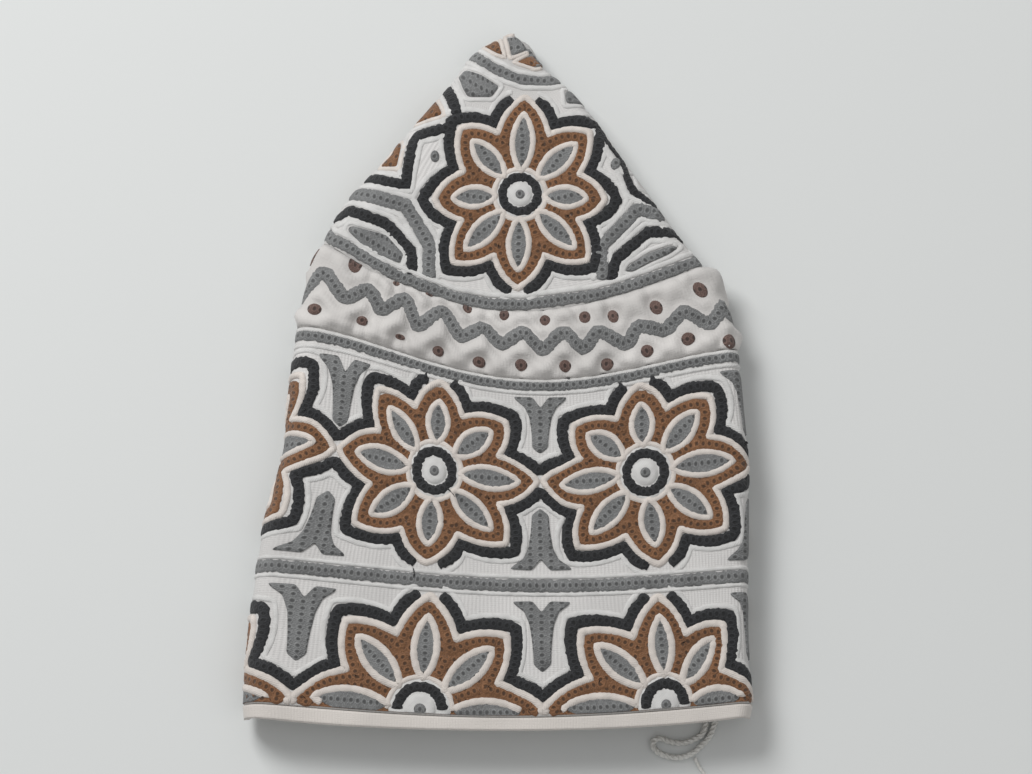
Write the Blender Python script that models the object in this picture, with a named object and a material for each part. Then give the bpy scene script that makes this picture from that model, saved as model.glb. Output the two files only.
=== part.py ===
# Embroidered kumma cap, folded in four and lying flat: peak toward +Y, hem toward -Y, front layer up.
# Metres, +Z up. The origin is on the surface that it lies on, below the middle of the folded cap.
# The tables are in millimetres and each mesh is scaled to metres once, where it is made.

import bpy
from math import acos, asin, ceil, cos, pi, radians, sin
from mathutils import Vector

MILLIMETRE = 0.001

# Cloth
CLOTH = 1.5               # wall: two layers of cotton and the embroidery over them
SEAM_GAP = 0.3            # clear gap between neighbouring pieces along a seam

# Distances down the middle of the front, measured from the peak
SEAM_DOWN = 81.4          # crown seam: the crown is a disc of about this radius
WALL_DOWN = 100.5         # top of the side wall
HEM_DOWN = 196.8          # top of the hem band
EDGE_DOWN = 200.3         # lower edge

# Place of the peak in plan
PEAK_X = 3.9
PEAK_Y = 99.5

# Heights of the cloth's middle in the two inner layers; the crown's table has the outer two
INNER_BACK = 3.25         # second layer from below
INNER_FRONT = 5.55        # third layer, separated from the second by the outer slot
SLOT_MIDDLE = (INNER_BACK + INNER_FRONT) / 2

# Creases: how far each one bows sideways
OUTER_BOW = 6.0           # left crease of the front and back layers
INNER_BOW = 1.15          # left crease of the two inner layers
FRONT_BOW = 3.0           # right crease of the front pair
BACK_BOW = 1.25           # right crease of the back pair
INNER_INSET = 4.75        # the inner left crease starts this far inside the outline
PEEK = 1.3                # the back pair's right crease shows this much beyond the front's crown

# The slot between the inner layers opens up below the peak
FOLD_FROM = 4.0
FOLD_TO = 34.0

# The hidden layers end short of the front one at the hem
INNER_SHORT = 3.0
BACK_SHORT = 4.0
SHORT_FROM = 150.0

# Gathers of the strip on the front layer
GATHERS = 10
PUFF = 1.1                # even swell of the strip
PUCKER = 1.3              # height of each gather above that
WAVE_SWELL = 0.5          # slow swell of the front wall between its stiff embroidered rows

# Yarn
YARN_DIAMETER = 1.7
THREAD_DIAMETER = 0.9

# Crown rows: distance from the peak, the extra spread of its left and right sides in degrees,
# and the height of the cloth's middle on the front and on the back layer
CROWN_COLUMNS = ("down", "left_spread", "right_spread", "front", "back")
CROWN_ROWS = (
    (4.0, 34.0, 33.0, 9.2, 1.4),
    (8.0, 28.0, 20.0, 10.4, 1.0),
    (14.0, 19.5, 14.0, 11.4, 0.75),
    (21.0, 9.8, 11.0, 12.1, 0.75),
    (30.0, 6.3, 5.4, 12.7, 0.75),
    (42.0, 4.3, 2.2, 13.0, 0.75),
    (55.0, 3.0, 1.0, 13.2, 0.75),
    (68.0, 2.6, 0.0, 13.2, 0.75),
    (81.4, 0.0, 0.0, 13.1, 0.75),
)

# Rows below the crown, each a line across the front: its two ends, and its height on the page at a
# quarter, a half and three quarters of the way between them
SIDE_COLUMNS = ("down", "left_x", "left_y", "quarter_y", "middle_y", "far_quarter_y", "right_y", "right_x")
SIDE_ROWS = (
    (81.4, -49.2, 39.4, 24.1, 18.7, 22.4, 32.0, 58.2),
    (84.5, -52.2, 34.8, 21.3, 15.8, 19.4, 28.9, 60.4),
    (91.0, -54.2, 26.0, 15.1, 9.4, 12.4, 20.0, 65.1),
    (100.5, -56.3, 15.1, 6.7, -0.3, 2.3, 8.3, 67.5),
    (114.5, -58.8, -4.9, -8.9, -14.1, -12.3, -7.4, 69.0),
    (128.2, -59.9, -19.7, -24.4, -28.0, -26.8, -23.4, 70.4),
    (144.2, -65.0, -38.8, -41.4, -44.0, -43.4, -40.6, 70.4),
    (159.4, -67.5, -53.1, -56.5, -59.1, -58.8, -56.3, 70.3),
    (176.8, -69.7, -72.0, -74.8, -76.5, -76.0, -73.1, 70.2),
    (196.8, -71.0, -92.2, -95.0, -96.5, -95.4, -92.2, 71.3),
    (200.3, -70.7, -96.0, -99.2, -100.1, -99.4, -96.1, 70.6),
)

# Faces along each stretch of the loop that one row makes through the four layers
LOOP_COLUMNS = ("stretch", "faces")
LOOP = (
    ("front", 40),
    ("front_right_crease", 6),
    ("inner_front", 10),
    ("inner_left_crease", 5),
    ("inner_back", 10),
    ("back_right_crease", 5),
    ("back", 12),
    ("outer_left_crease", 8),
)

# Rows of vertices in each piece
CROWN_STEPS = (4.0, 8.0, 14.0, 21.0, 30.0, 42.0, 55.0, 68.0, 81.4)
STRIP_FACES = 6
WALL_FACES = 7
HEM_FACES = 2

# Routes of the loose strands over the surface, in plan
YARN_ROUTE = (
    (58.8, -93.3), (57.8, -98.5), (55.2, -100.6), (51.8, -101.7), (48.4, -101.3),
    (45.7, -100.4), (43.9, -101.1), (43.8, -103.0), (45.9, -104.8), (49.8, -105.8),
    (53.8, -105.0), (57.1, -102.5), (59.7, -99.3), (61.9, -93.0),
)
THREAD_ROUTE = (
    (55.28, -105.67), (56.4, -108.2), (58.0, -110.4), (60.3, -112.5), (63.6, -114.9),
    (67.6, -117.9), (70.0, -121.8), (70.9, -126.4), (73.4, -131.0),
)


def smoothStep(low, high, value):
    share = min(1.0, max(0.0, (value - low) / (high - low)))
    return share * share * (3 - 2 * share)


def column(columns, row, name):
    return row[columns.index(name)]


def readTable(columns, rows, down, name):
    # A smooth curve through one column, with the neighbouring rows giving its slope at each row
    at = [row[0] for row in rows]
    values = [column(columns, row, name) for row in rows]
    last = len(rows) - 1
    i = max(0, min(last - 1, sum(1 for a in at[1:-1] if a <= down)))

    def slope(k):
        before, after = max(0, k - 1), min(last, k + 1)
        return (values[after] - values[before]) / (at[after] - at[before])

    span = at[i + 1] - at[i]
    t = (down - at[i]) / span
    if t < 0 or t > 1:
        end = i if t < 0 else i + 1
        return values[end] + slope(end) * (down - at[end])
    return (values[i] * (1 + 2 * t) * (1 - t) ** 2 + slope(i) * span * t * (1 - t) ** 2
            + values[i + 1] * t * t * (3 - 2 * t) + slope(i + 1) * span * t * t * (t - 1))


def lineHeight(down, across):
    # The one quartic through the five heights of a row
    names = ("left_y", "quarter_y", "middle_y", "far_quarter_y", "right_y")
    total = 0.0
    for i, name in enumerate(names):
        weight = 1.0
        for j in range(len(names)):
            if j != i:
                weight *= (across * 4 - j) / (i - j)
        total += weight * readTable(SIDE_COLUMNS, SIDE_ROWS, down, name)
    return total


def sidePlan(down, across):
    left = readTable(SIDE_COLUMNS, SIDE_ROWS, down, "left_x")
    right = readTable(SIDE_COLUMNS, SIDE_ROWS, down, "right_x")
    return Vector((left + (right - left) * across, lineHeight(down, across)))


def crownPlan(down, across):
    # Polar about the peak: each row keeps its share of the way to the seam
    seam = sidePlan(SEAM_DOWN, across) - Vector((PEAK_X, PEAK_Y))
    side = 2 * across - 1
    name = "left_spread" if side < 0 else "right_spread"
    spread = readTable(CROWN_COLUMNS, CROWN_ROWS, max(down, CROWN_ROWS[0][0]), name)
    turn = radians(spread * side)
    reach = seam * (down / SEAM_DOWN)
    return Vector((PEAK_X + reach.x * cos(turn) - reach.y * sin(turn),
                   PEAK_Y + reach.x * sin(turn) + reach.y * cos(turn)))


def plan(down, across):
    if down < SEAM_DOWN:
        return crownPlan(down, across)
    return sidePlan(down, across)


def layerHeight(down, name):
    if down >= SEAM_DOWN:
        down = SEAM_DOWN
    return readTable(CROWN_COLUMNS, CROWN_ROWS, max(down, CROWN_ROWS[0][0]), name)


def frontRelief(down, across):
    # Swell and gathers of the strip, and the slow swell of the wall, both fading at the creases
    inside = sin(pi * min(1.0, max(0.0, across))) ** 0.5
    if SEAM_DOWN < down < WALL_DOWN:
        share = (down - SEAM_DOWN) / (WALL_DOWN - SEAM_DOWN)
        gather = 0.5 + 0.5 * cos(2 * pi * GATHERS * across)
        return inside * sin(pi * share) ** 2 * (PUFF + PUCKER * gather)
    if down >= WALL_DOWN:
        share = (down - WALL_DOWN) / (EDGE_DOWN - WALL_DOWN)
        return inside * WAVE_SWELL * sin(2 * pi * share) ** 2
    return 0.0


def halfRound(centre, bow, low, high, angle):
    # A half ellipse that bows sideways from low to high; angle runs from -90 at low to 90 at high
    return centre + bow * cos(angle), (low + high) / 2 + (high - low) / 2 * sin(angle)


def foldedPoint(stretch, t, width, down):
    # Sideways place and height in the folded stack, t running along the stretch
    front = layerHeight(down, "front")
    back = layerHeight(down, "back")
    edge = CLOTH / 2
    outer = edge + OUTER_BOW
    inner = INNER_INSET + INNER_BOW
    frontRight = width - edge - FRONT_BOW
    peek = PEEK * (1 - smoothStep(SEAM_DOWN - 8, SEAM_DOWN + 4, down))
    backRight = width - edge - BACK_BOW + peek
    if stretch == "front":
        return outer + (frontRight - outer) * t, front
    if stretch == "front_right_crease":
        return halfRound(frontRight, FRONT_BOW, INNER_FRONT, front, pi / 2 - pi * t)
    if stretch == "inner_front":
        return frontRight + (inner - frontRight) * t, INNER_FRONT
    if stretch == "inner_left_crease":
        return halfRound(inner, -INNER_BOW, INNER_BACK, INNER_FRONT, pi / 2 - pi * t)
    if stretch == "inner_back":
        return inner + (backRight - inner) * t, INNER_BACK
    if stretch == "back_right_crease":
        return halfRound(backRight, BACK_BOW, back, INNER_BACK, pi / 2 - pi * t)
    if stretch == "back":
        return backRight + (outer - backRight) * t, back
    return halfRound(outer, -OUTER_BOW, back, front, -pi / 2 + pi * t)


def peakPoint(stretch, t, width, down):
    # The same stretches round a plain oval, which the cloth makes close to the peak
    up = layerHeight(down, "front") - SLOT_MIDDLE
    under = SLOT_MIDDLE - layerHeight(down, "back")
    inset = CLOTH / 2
    radius = width / 2 - inset
    slotUp = asin(min(0.5, INNER_BOW / up))
    slotUnder = asin(min(0.5, INNER_BOW / under))
    shoulder, root = radians(50), radians(36)
    ends = {
        "front_right_crease": (shoulder, root),
        "inner_front": (root, slotUp),
        "inner_left_crease": (slotUp, -slotUnder),
        "inner_back": (-slotUnder, -root),
        "back_right_crease": (-root, -shoulder),
        "outer_left_crease": (pi + shoulder, pi - shoulder),
    }
    if stretch == "front":
        angle = acos(cos(shoulder) * (2 * t - 1))
    elif stretch == "back":
        angle = -acos(cos(shoulder) * (1 - 2 * t))
    else:
        start, stop = ends[stretch]
        angle = start + (stop - start) * t
    height = sin(angle) * (up if sin(angle) > 0 else under)
    return inset + radius * (1 + cos(angle)), SLOT_MIDDLE + height


def shortfall(stretch, t):
    # How far each layer ends above the front one at the hem; each crease drops in its lower half
    if stretch == "front":
        return 0.0
    if stretch == "front_right_crease":
        return INNER_SHORT * smoothStep(0.5, 1, t)
    if stretch == "back_right_crease":
        return INNER_SHORT + (BACK_SHORT - INNER_SHORT) * smoothStep(0, 1, t)
    if stretch == "back":
        return BACK_SHORT
    if stretch == "outer_left_crease":
        return BACK_SHORT * (1 - smoothStep(0, 0.5, t))
    return INNER_SHORT


def clothPoint(stretch, t, down):
    # One point of the cloth's middle surface
    down -= shortfall(stretch, t) * smoothStep(SHORT_FROM, EDGE_DOWN, down)
    width = (plan(down, 1.0) - plan(down, 0.0)).length
    sideways, height = foldedPoint(stretch, t, width, down)
    if down < FOLD_TO:
        folded = smoothStep(FOLD_FROM, FOLD_TO, down)
        roundSideways, roundHeight = peakPoint(stretch, t, width, down)
        sideways = roundSideways + (sideways - roundSideways) * folded
        height = roundHeight + (height - roundHeight) * folded
    across = sideways / width
    place = plan(down, across)
    if stretch == "front":
        height += frontRelief(down, across)
    return Vector((place.x, place.y, height))


def loopPlaces():
    # Every column of vertices round the loop, as a stretch and a share of it
    places = []
    for stretch, faces in LOOP:
        for i in range(faces):
            places.append((stretch, i / faces))
    return places


def beside(places, i, step):
    return places[(i + step) % len(places)]


def clothNormal(places, i, down):
    # Outward from the cap, from the surface's slopes round the loop and down the cap
    nudge = 0.4
    around = clothPoint(*beside(places, i, 1), down) - clothPoint(*beside(places, i, -1), down)
    along = clothPoint(*places[i], down + nudge) - clothPoint(*places[i], down - nudge)
    return along.cross(around).normalized()


def shellRows(downs):
    places = loopPlaces()
    outer, inner = [], []
    for down in downs:
        middle = [clothPoint(stretch, t, down) for stretch, t in places]
        normals = [clothNormal(places, i, down) for i in range(len(places))]
        outer.append([m + n * CLOTH / 2 for m, n in zip(middle, normals)])
        inner.append([m - n * CLOTH / 2 for m, n in zip(middle, normals)])
    return outer, inner


def addRows(points, rows):
    first = len(points)
    for row in rows:
        points.extend(row)
    return first


def bandFaces(faces, upper, lower, count, flip):
    for i in range(count):
        j = (i + 1) % count
        quad = (upper + i, lower + i, lower + j, upper + j)
        faces.append(quad[::-1] if flip else quad)


def fanFaces(faces, centre, ring, count, flip):
    for i in range(count):
        j = (i + 1) % count
        corner = (centre, ring + i, ring + j)
        faces.append(corner[::-1] if flip else corner)


def shellObject(name, downs, material, peak=False):
    # A closed wall between the outer and the inner surface; the crown's is closed over its peak
    outer, inner = shellRows(downs)
    count = len(outer[0])
    points, faces = [], []
    outerFirst = addRows(points, outer)
    innerFirst = addRows(points, inner)
    last = (len(downs) - 1) * count
    for row in range(len(downs) - 1):
        step = row * count
        bandFaces(faces, outerFirst + step, outerFirst + step + count, count, False)
        bandFaces(faces, innerFirst + step, innerFirst + step + count, count, True)
    bandFaces(faces, outerFirst + last, innerFirst + last, count, False)
    if peak:
        tip = Vector((PEAK_X, PEAK_Y, SLOT_MIDDLE))
        points.append(tip + Vector((0, CLOTH / 2, 0)))
        fanFaces(faces, len(points) - 1, outerFirst, count, False)
        points.append(tip - Vector((0, CLOTH / 2, 0)))
        fanFaces(faces, len(points) - 1, innerFirst, count, True)
    else:
        bandFaces(faces, outerFirst, innerFirst, count, True)
    mesh = bpy.data.meshes.new(name)
    mesh.from_pydata([p * MILLIMETRE for p in points], [], faces)
    mesh.shade_smooth()
    mesh.materials.append(material)
    piece = bpy.data.objects.new(name, mesh)
    bpy.context.collection.objects.link(piece)
    return piece


def evenSteps(start, stop, faces):
    return [start + (stop - start) * i / faces for i in range(faces + 1)]


def smoothRoute(route, spacing):
    # Points along a smooth curve through the route's own points, about one spacing apart
    last = len(route) - 1
    points = []
    for i in range(last):
        before, start = Vector(route[max(0, i - 1)]), Vector(route[i])
        stop, after = Vector(route[i + 1]), Vector(route[min(last, i + 2)])
        pieces = max(1, ceil((stop - start).length / spacing))
        for k in range(pieces):
            t = k / pieces
            points.append(0.5 * (2 * start + (stop - before) * t
                                 + (2 * before - 5 * start + 4 * stop - after) * t ** 2
                                 + (3 * start - before - 3 * stop + after) * t ** 3))
    points.append(Vector(route[last]))
    return points


def strandObject(name, route, diameter, material):
    curve = bpy.data.curves.new(name, "CURVE")
    curve.dimensions = "3D"
    curve.bevel_depth = diameter / 2 * MILLIMETRE
    curve.bevel_resolution = 2
    curve.use_fill_caps = True
    points = smoothRoute(route, 2.2 * diameter)
    spline = curve.splines.new("POLY")
    spline.points.add(len(points) - 1)
    for place, point in zip(spline.points, points):
        position = Vector((point.x, point.y, diameter / 2)) * MILLIMETRE
        place.co = (*position, 1.0)
    curve.materials.append(material)
    strand = bpy.data.objects.new(name, curve)
    bpy.context.collection.objects.link(strand)
    return strand


def cloth(name, colour, roughness):
    material = bpy.data.materials.new(name)
    material.use_nodes = True
    shader = material.node_tree.nodes["Principled BSDF"]
    shader.inputs["Base Color"].default_value = (*colour, 1.0)
    shader.inputs["Roughness"].default_value = roughness
    shader.inputs["Metallic"].default_value = 0.0
    return material


def clearScene():
    for item in list(bpy.data.objects):
        bpy.data.objects.remove(item)


def buildCap():
    half = SEAM_GAP / 2
    embroidered = cloth("embroidered_cotton", (0.62, 0.58, 0.54), 0.9)
    gathered = cloth("gathered_cotton", (0.73, 0.65, 0.6), 0.9)
    binding = cloth("hem_cotton", (0.74, 0.66, 0.61), 0.88)
    yarn = cloth("cotton_yarn", (0.76, 0.73, 0.68), 0.9)
    shellObject("crown", [*CROWN_STEPS[:-1], SEAM_DOWN - half], embroidered, peak=True)
    shellObject("gathered_strip", evenSteps(SEAM_DOWN + half, WALL_DOWN - half, STRIP_FACES), gathered)
    shellObject("side_wall", evenSteps(WALL_DOWN + half, HEM_DOWN - half, WALL_FACES), embroidered)
    shellObject("hem_band", evenSteps(HEM_DOWN + half, EDGE_DOWN, HEM_FACES), binding)
    strandObject("hem_yarn", YARN_ROUTE, YARN_DIAMETER, yarn)
    strandObject("yarn_tail", THREAD_ROUTE, THREAD_DIAMETER, yarn)


clearScene()
buildCap()
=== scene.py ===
# Embroidered kumma cap, folded in four and lying flat, with its peak away from the viewer.
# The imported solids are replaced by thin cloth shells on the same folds, with raised thread on them.
import math

import bmesh
import bpy
import numpy as np
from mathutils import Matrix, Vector


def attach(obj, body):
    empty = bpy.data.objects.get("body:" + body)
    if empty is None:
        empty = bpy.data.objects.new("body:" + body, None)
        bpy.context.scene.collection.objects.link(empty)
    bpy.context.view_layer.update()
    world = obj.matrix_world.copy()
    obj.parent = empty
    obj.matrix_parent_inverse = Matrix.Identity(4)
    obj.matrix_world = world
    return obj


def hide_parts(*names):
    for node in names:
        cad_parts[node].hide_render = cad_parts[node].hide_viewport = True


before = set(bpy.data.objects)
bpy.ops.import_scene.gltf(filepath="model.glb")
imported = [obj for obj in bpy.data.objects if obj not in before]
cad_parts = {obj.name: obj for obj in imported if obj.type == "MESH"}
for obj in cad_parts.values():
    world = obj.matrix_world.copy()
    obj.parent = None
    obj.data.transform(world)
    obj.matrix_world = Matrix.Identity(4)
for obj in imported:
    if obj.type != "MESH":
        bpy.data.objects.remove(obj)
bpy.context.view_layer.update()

mm = 0.001
tau = 2 * math.pi

# Sizes of the folded cap in millimetres, the same as in the part's source
cap = {
    "cloth": 1.5,
    "seamGap": 0.3,
    "seamDown": 81.4,       # crown seam, measured from the peak down the middle of the front
    "wallDown": 100.5,
    "hemDown": 196.8,
    "edgeDown": 200.3,
    "peakX": 3.9,
    "peakY": 99.5,
    "innerBack": 3.25,      # heights of the cloth's middle in the two inner layers
    "innerFront": 5.55,
    "outerBow": 6.0,        # how far each crease bows sideways
    "innerBow": 1.15,
    "frontBow": 3.0,
    "backBow": 1.25,
    "innerInset": 4.75,
    "peek": 1.3,
    "foldFrom": 4.0,
    "foldTo": 34.0,
    "innerShort": 3.0,
    "backShort": 4.0,
    "shortFrom": 150.0,
    "gathers": 10,
    "puff": 1.1,
    "pucker": 1.3,
    "waveSwell": 0.5,
}
slotMiddle = (cap["innerBack"] + cap["innerFront"]) / 2

# Crown rows: distance from the peak, extra spread of the sides in degrees, heights of the layers
crownRows = {
    "down": (4.0, 8.0, 14.0, 21.0, 30.0, 42.0, 55.0, 68.0, 81.4),
    "leftSpread": (34.0, 28.0, 19.5, 9.8, 6.3, 4.3, 3.0, 2.6, 0.0),
    "rightSpread": (33.0, 20.0, 14.0, 11.0, 5.4, 2.2, 1.0, 0.0, 0.0),
    "front": (9.2, 10.4, 11.4, 12.1, 12.7, 13.0, 13.2, 13.2, 13.1),
    "back": (1.4, 1.0, 0.75, 0.75, 0.75, 0.75, 0.75, 0.75, 0.75),
}

# Rows below the crown: the two ends of each line across the front, and its heights between them
sideRows = {
    "down": (81.4, 84.5, 91.0, 100.5, 114.5, 128.2, 144.2, 159.4, 176.8, 196.8, 200.3),
    "leftX": (-49.2, -52.2, -54.2, -56.3, -58.8, -59.9, -65.0, -67.5, -69.7, -71.0, -70.7),
    "leftY": (39.4, 34.8, 26.0, 15.1, -4.9, -19.7, -38.8, -53.1, -72.0, -92.2, -96.0),
    "quarterY": (24.1, 21.3, 15.1, 6.7, -8.9, -24.4, -41.4, -56.5, -74.8, -95.0, -99.2),
    "middleY": (18.7, 15.8, 9.4, -0.3, -14.1, -28.0, -44.0, -59.1, -76.5, -96.5, -100.1),
    "farQuarterY": (22.4, 19.4, 12.4, 2.3, -12.3, -26.8, -43.4, -58.8, -76.0, -95.4, -99.4),
    "rightY": (32.0, 28.9, 20.0, 8.3, -7.4, -23.4, -40.6, -56.3, -73.1, -92.2, -96.1),
    "rightX": (58.2, 60.4, 65.1, 67.5, 69.0, 70.4, 70.4, 70.3, 70.2, 71.3, 70.6),
}


def smoothStep(low, high, value):
    share = np.clip((value - low) / (high - low), 0.0, 1.0)
    return share * share * (3 - 2 * share)


def through(at, values, x):
    # A smooth curve through a short table, straight beyond its ends
    at, values, x = (np.asarray(a, float) for a in (at, values, x))
    slopes = np.empty_like(values)
    slopes[1:-1] = (values[2:] - values[:-2]) / (at[2:] - at[:-2])
    slopes[0] = (values[1] - values[0]) / (at[1] - at[0])
    slopes[-1] = (values[-1] - values[-2]) / (at[-1] - at[-2])
    i = np.clip(np.searchsorted(at, x, side="right") - 1, 0, len(at) - 2)
    span = at[i + 1] - at[i]
    t = (x - at[i]) / span
    inside = (values[i] * (1 + 2 * t) * (1 - t) ** 2 + slopes[i] * span * t * (1 - t) ** 2
              + values[i + 1] * t * t * (3 - 2 * t) + slopes[i + 1] * span * t * t * (t - 1))
    before = values[0] + slopes[0] * (x - at[0])
    after = values[-1] + slopes[-1] * (x - at[-1])
    return np.where(x < at[0], before, np.where(x > at[-1], after, inside))


def sideValue(name, down):
    return through(sideRows["down"], sideRows[name], down)


def crownValue(name, down):
    down = np.clip(down, crownRows["down"][0], cap["seamDown"])
    return through(crownRows["down"], crownRows[name], down)


def sidePlan(down, across):
    # One quartic through the five heights of a row
    left, right = sideValue("leftX", down), sideValue("rightX", down)
    y = 0.0
    for i, name in enumerate(("leftY", "quarterY", "middleY", "farQuarterY", "rightY")):
        weight = 1.0
        for j in range(5):
            if j != i:
                weight = weight * (across * 4 - j) / (i - j)
        y = y + weight * sideValue(name, down)
    return left + (right - left) * across, y


def crownPlan(down, across):
    # Polar about the peak: each row keeps its share of the way to the seam
    x, y = sidePlan(np.full(np.shape(across), cap["seamDown"]), across)
    side = 2 * across - 1
    spread = np.where(side < 0, crownValue("leftSpread", down), crownValue("rightSpread", down))
    turn = np.radians(spread * side)
    x = (x - cap["peakX"]) * down / cap["seamDown"]
    y = (y - cap["peakY"]) * down / cap["seamDown"]
    return (cap["peakX"] + x * np.cos(turn) - y * np.sin(turn),
            cap["peakY"] + x * np.sin(turn) + y * np.cos(turn))


def plan(down, across):
    crown = crownPlan(np.minimum(down, cap["seamDown"]), across)
    side = sidePlan(np.maximum(down, cap["seamDown"]), across)
    onCrown = down < cap["seamDown"]
    return np.where(onCrown, crown[0], side[0]), np.where(onCrown, crown[1], side[1])


def frontRelief(down, across):
    # Swell and gathers of the strip and the slow swell of the wall, both fading at the creases
    inside = np.sqrt(np.sin(math.pi * np.clip(across, 0, 1)))
    strip = (down - cap["seamDown"]) / (cap["wallDown"] - cap["seamDown"])
    wall = (down - cap["wallDown"]) / (cap["edgeDown"] - cap["wallDown"])
    gather = 0.5 + 0.5 * np.cos(tau * cap["gathers"] * across)
    puffed = np.sin(math.pi * np.clip(strip, 0, 1)) ** 2 * (cap["puff"] + cap["pucker"] * gather)
    swell = cap["waveSwell"] * np.sin(tau * np.clip(wall, 0, 1)) ** 2
    return inside * np.where(strip < 1, puffed, swell)


# The loop that one row makes through the four layers, and how finely each stretch is followed
loopStretches = (
    ("front", 90), ("frontRightCrease", 24), ("innerFront", 30), ("innerLeftCrease", 16),
    ("innerBack", 30), ("backRightCrease", 16), ("back", 60), ("outerLeftCrease", 40),
)


def foldedPlace(stretch, t, width, down):
    front, back = crownValue("front", down), crownValue("back", down)
    edge = cap["cloth"] / 2
    outer = edge + cap["outerBow"]
    inner = cap["innerInset"] + cap["innerBow"]
    frontRight = width - edge - cap["frontBow"]
    peek = cap["peek"] * (1 - smoothStep(cap["seamDown"] - 8, cap["seamDown"] + 4, down))
    backRight = width - edge - cap["backBow"] + peek
    flat = {
        "front": (outer, frontRight, front),
        "innerFront": (frontRight, inner, cap["innerFront"]),
        "innerBack": (inner, backRight, cap["innerBack"]),
        "back": (backRight, outer, back),
    }
    if stretch in flat:
        start, stop, height = flat[stretch]
        return start + (stop - start) * t, height + 0 * t
    centre, bow, low, high, angle = {
        "frontRightCrease": (frontRight, cap["frontBow"], cap["innerFront"], front, math.pi * (0.5 - t)),
        "innerLeftCrease": (inner, -cap["innerBow"], cap["innerBack"], cap["innerFront"],
                            math.pi * (0.5 - t)),
        "backRightCrease": (backRight, cap["backBow"], back, cap["innerBack"], math.pi * (0.5 - t)),
        "outerLeftCrease": (outer, -cap["outerBow"], back, front, math.pi * (t - 0.5)),
    }[stretch]
    return centre + bow * np.cos(angle), (low + high) / 2 + (high - low) / 2 * np.sin(angle)


def peakPlace(stretch, t, width, down):
    # The same stretches round a plain oval, which the cloth makes close to the peak
    dome = np.sqrt(np.clip(down / 4, 0.0, 1.0) * (2 - np.clip(down / 4, 0.0, 1.0)))
    up = (crownValue("front", down) - slotMiddle) * dome
    under = (slotMiddle - crownValue("back", down)) * dome
    inset = np.minimum(cap["cloth"] / 2, width * 0.12)
    slotUp = np.arcsin(np.minimum(0.5, cap["innerBow"] / np.maximum(up, 0.01)))
    slotUnder = np.arcsin(np.minimum(0.5, cap["innerBow"] / np.maximum(under, 0.01)))
    shoulder, root = math.radians(50), math.radians(36)
    if stretch == "front":
        angle = np.arccos(math.cos(shoulder) * (2 * t - 1))
    elif stretch == "back":
        angle = -np.arccos(math.cos(shoulder) * (1 - 2 * t))
    else:
        start, stop = {
            "frontRightCrease": (shoulder, root),
            "innerFront": (root, slotUp),
            "innerLeftCrease": (slotUp, -slotUnder),
            "innerBack": (-slotUnder, -root),
            "backRightCrease": (-root, -shoulder),
            "outerLeftCrease": (math.pi + shoulder, math.pi - shoulder),
        }[stretch]
        angle = start + (stop - start) * t
    height = np.sin(angle) * np.where(np.sin(angle) > 0, up, under)
    return inset + (width / 2 - inset) * (1 + np.cos(angle)), slotMiddle + height


def shortfall(stretch, t):
    # How far each layer ends above the front one at the hem
    inner, back = cap["innerShort"], cap["backShort"]
    return {
        "front": 0 * t,
        "frontRightCrease": inner * smoothStep(0.5, 1, t),
        "backRightCrease": inner + (back - inner) * smoothStep(0, 1, t),
        "back": back + 0 * t,
        "outerLeftCrease": back * (1 - smoothStep(0, 0.5, t)),
    }.get(stretch, inner + 0 * t)


def loopAt(down):
    # The cloth's middle all the way round one row, as points in order
    points = []
    for stretch, count in loopStretches:
        t = np.arange(count) / count
        d = down - shortfall(stretch, t) * smoothStep(cap["shortFrom"], cap["edgeDown"], down)
        ends = plan(d, np.ones(count)), plan(d, np.zeros(count))
        width = np.hypot(ends[0][0] - ends[1][0], ends[0][1] - ends[1][1])
        width = np.maximum(width, 0.02)
        sideways, height = foldedPlace(stretch, t, width, d)
        if down < cap["foldTo"]:
            folded = smoothStep(cap["foldFrom"], cap["foldTo"], d)
            roundSideways, roundHeight = peakPlace(stretch, t, width, d)
            sideways = roundSideways + (sideways - roundSideways) * folded
            height = roundHeight + (height - roundHeight) * folded
        across = sideways / width
        x, y = plan(d, across)
        if stretch == "front":
            height = height + frontRelief(d, across)
        points.append(np.stack([x, y, height], axis=1))
    return np.concatenate(points)


# Where the pattern falls on the front. On the wall it is counted in rosette pitches, nine round
# the cap, with 0 between the front's two rosettes; on the crown in fifths of a turn, with 0 at
# the middle of the front rosette.
wallPattern = {
    "pitches": 9,
    "firstColumn": -6.0,       # pattern place of a sheet's first column
    "down": (81.4, 100.5, 128.2, 159.4, 196.8, 200.3),
    "leftMost": (-1.3, -1.3, -1.26, -1.22, -1.19, -1.19),
    "minusOneX": (-35.5, -41.2, -45.1, -52.6, -57.7, -57.7),
    "minusHalfX": (-14.0, -16.0, -17.5, -19.6, -21.6, -21.6),
    "zeroX": (10.2, 12.0, 12.0, 12.3, 12.9, 12.9),
    "halfX": (34.5, 40.0, 41.4, 44.5, 47.3, 47.3),
    "rightMost": 1.0,
}
crownPattern = {
    "pitches": 5,
    "firstColumn": -3.0,
    "leftMost": -0.69,
    "rightMost": 0.585,
    "at": (-0.5, 0.0, 0.5),
    "share": (0.143, 0.54, 0.937),   # of the angle that the front takes at the peak
}


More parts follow.
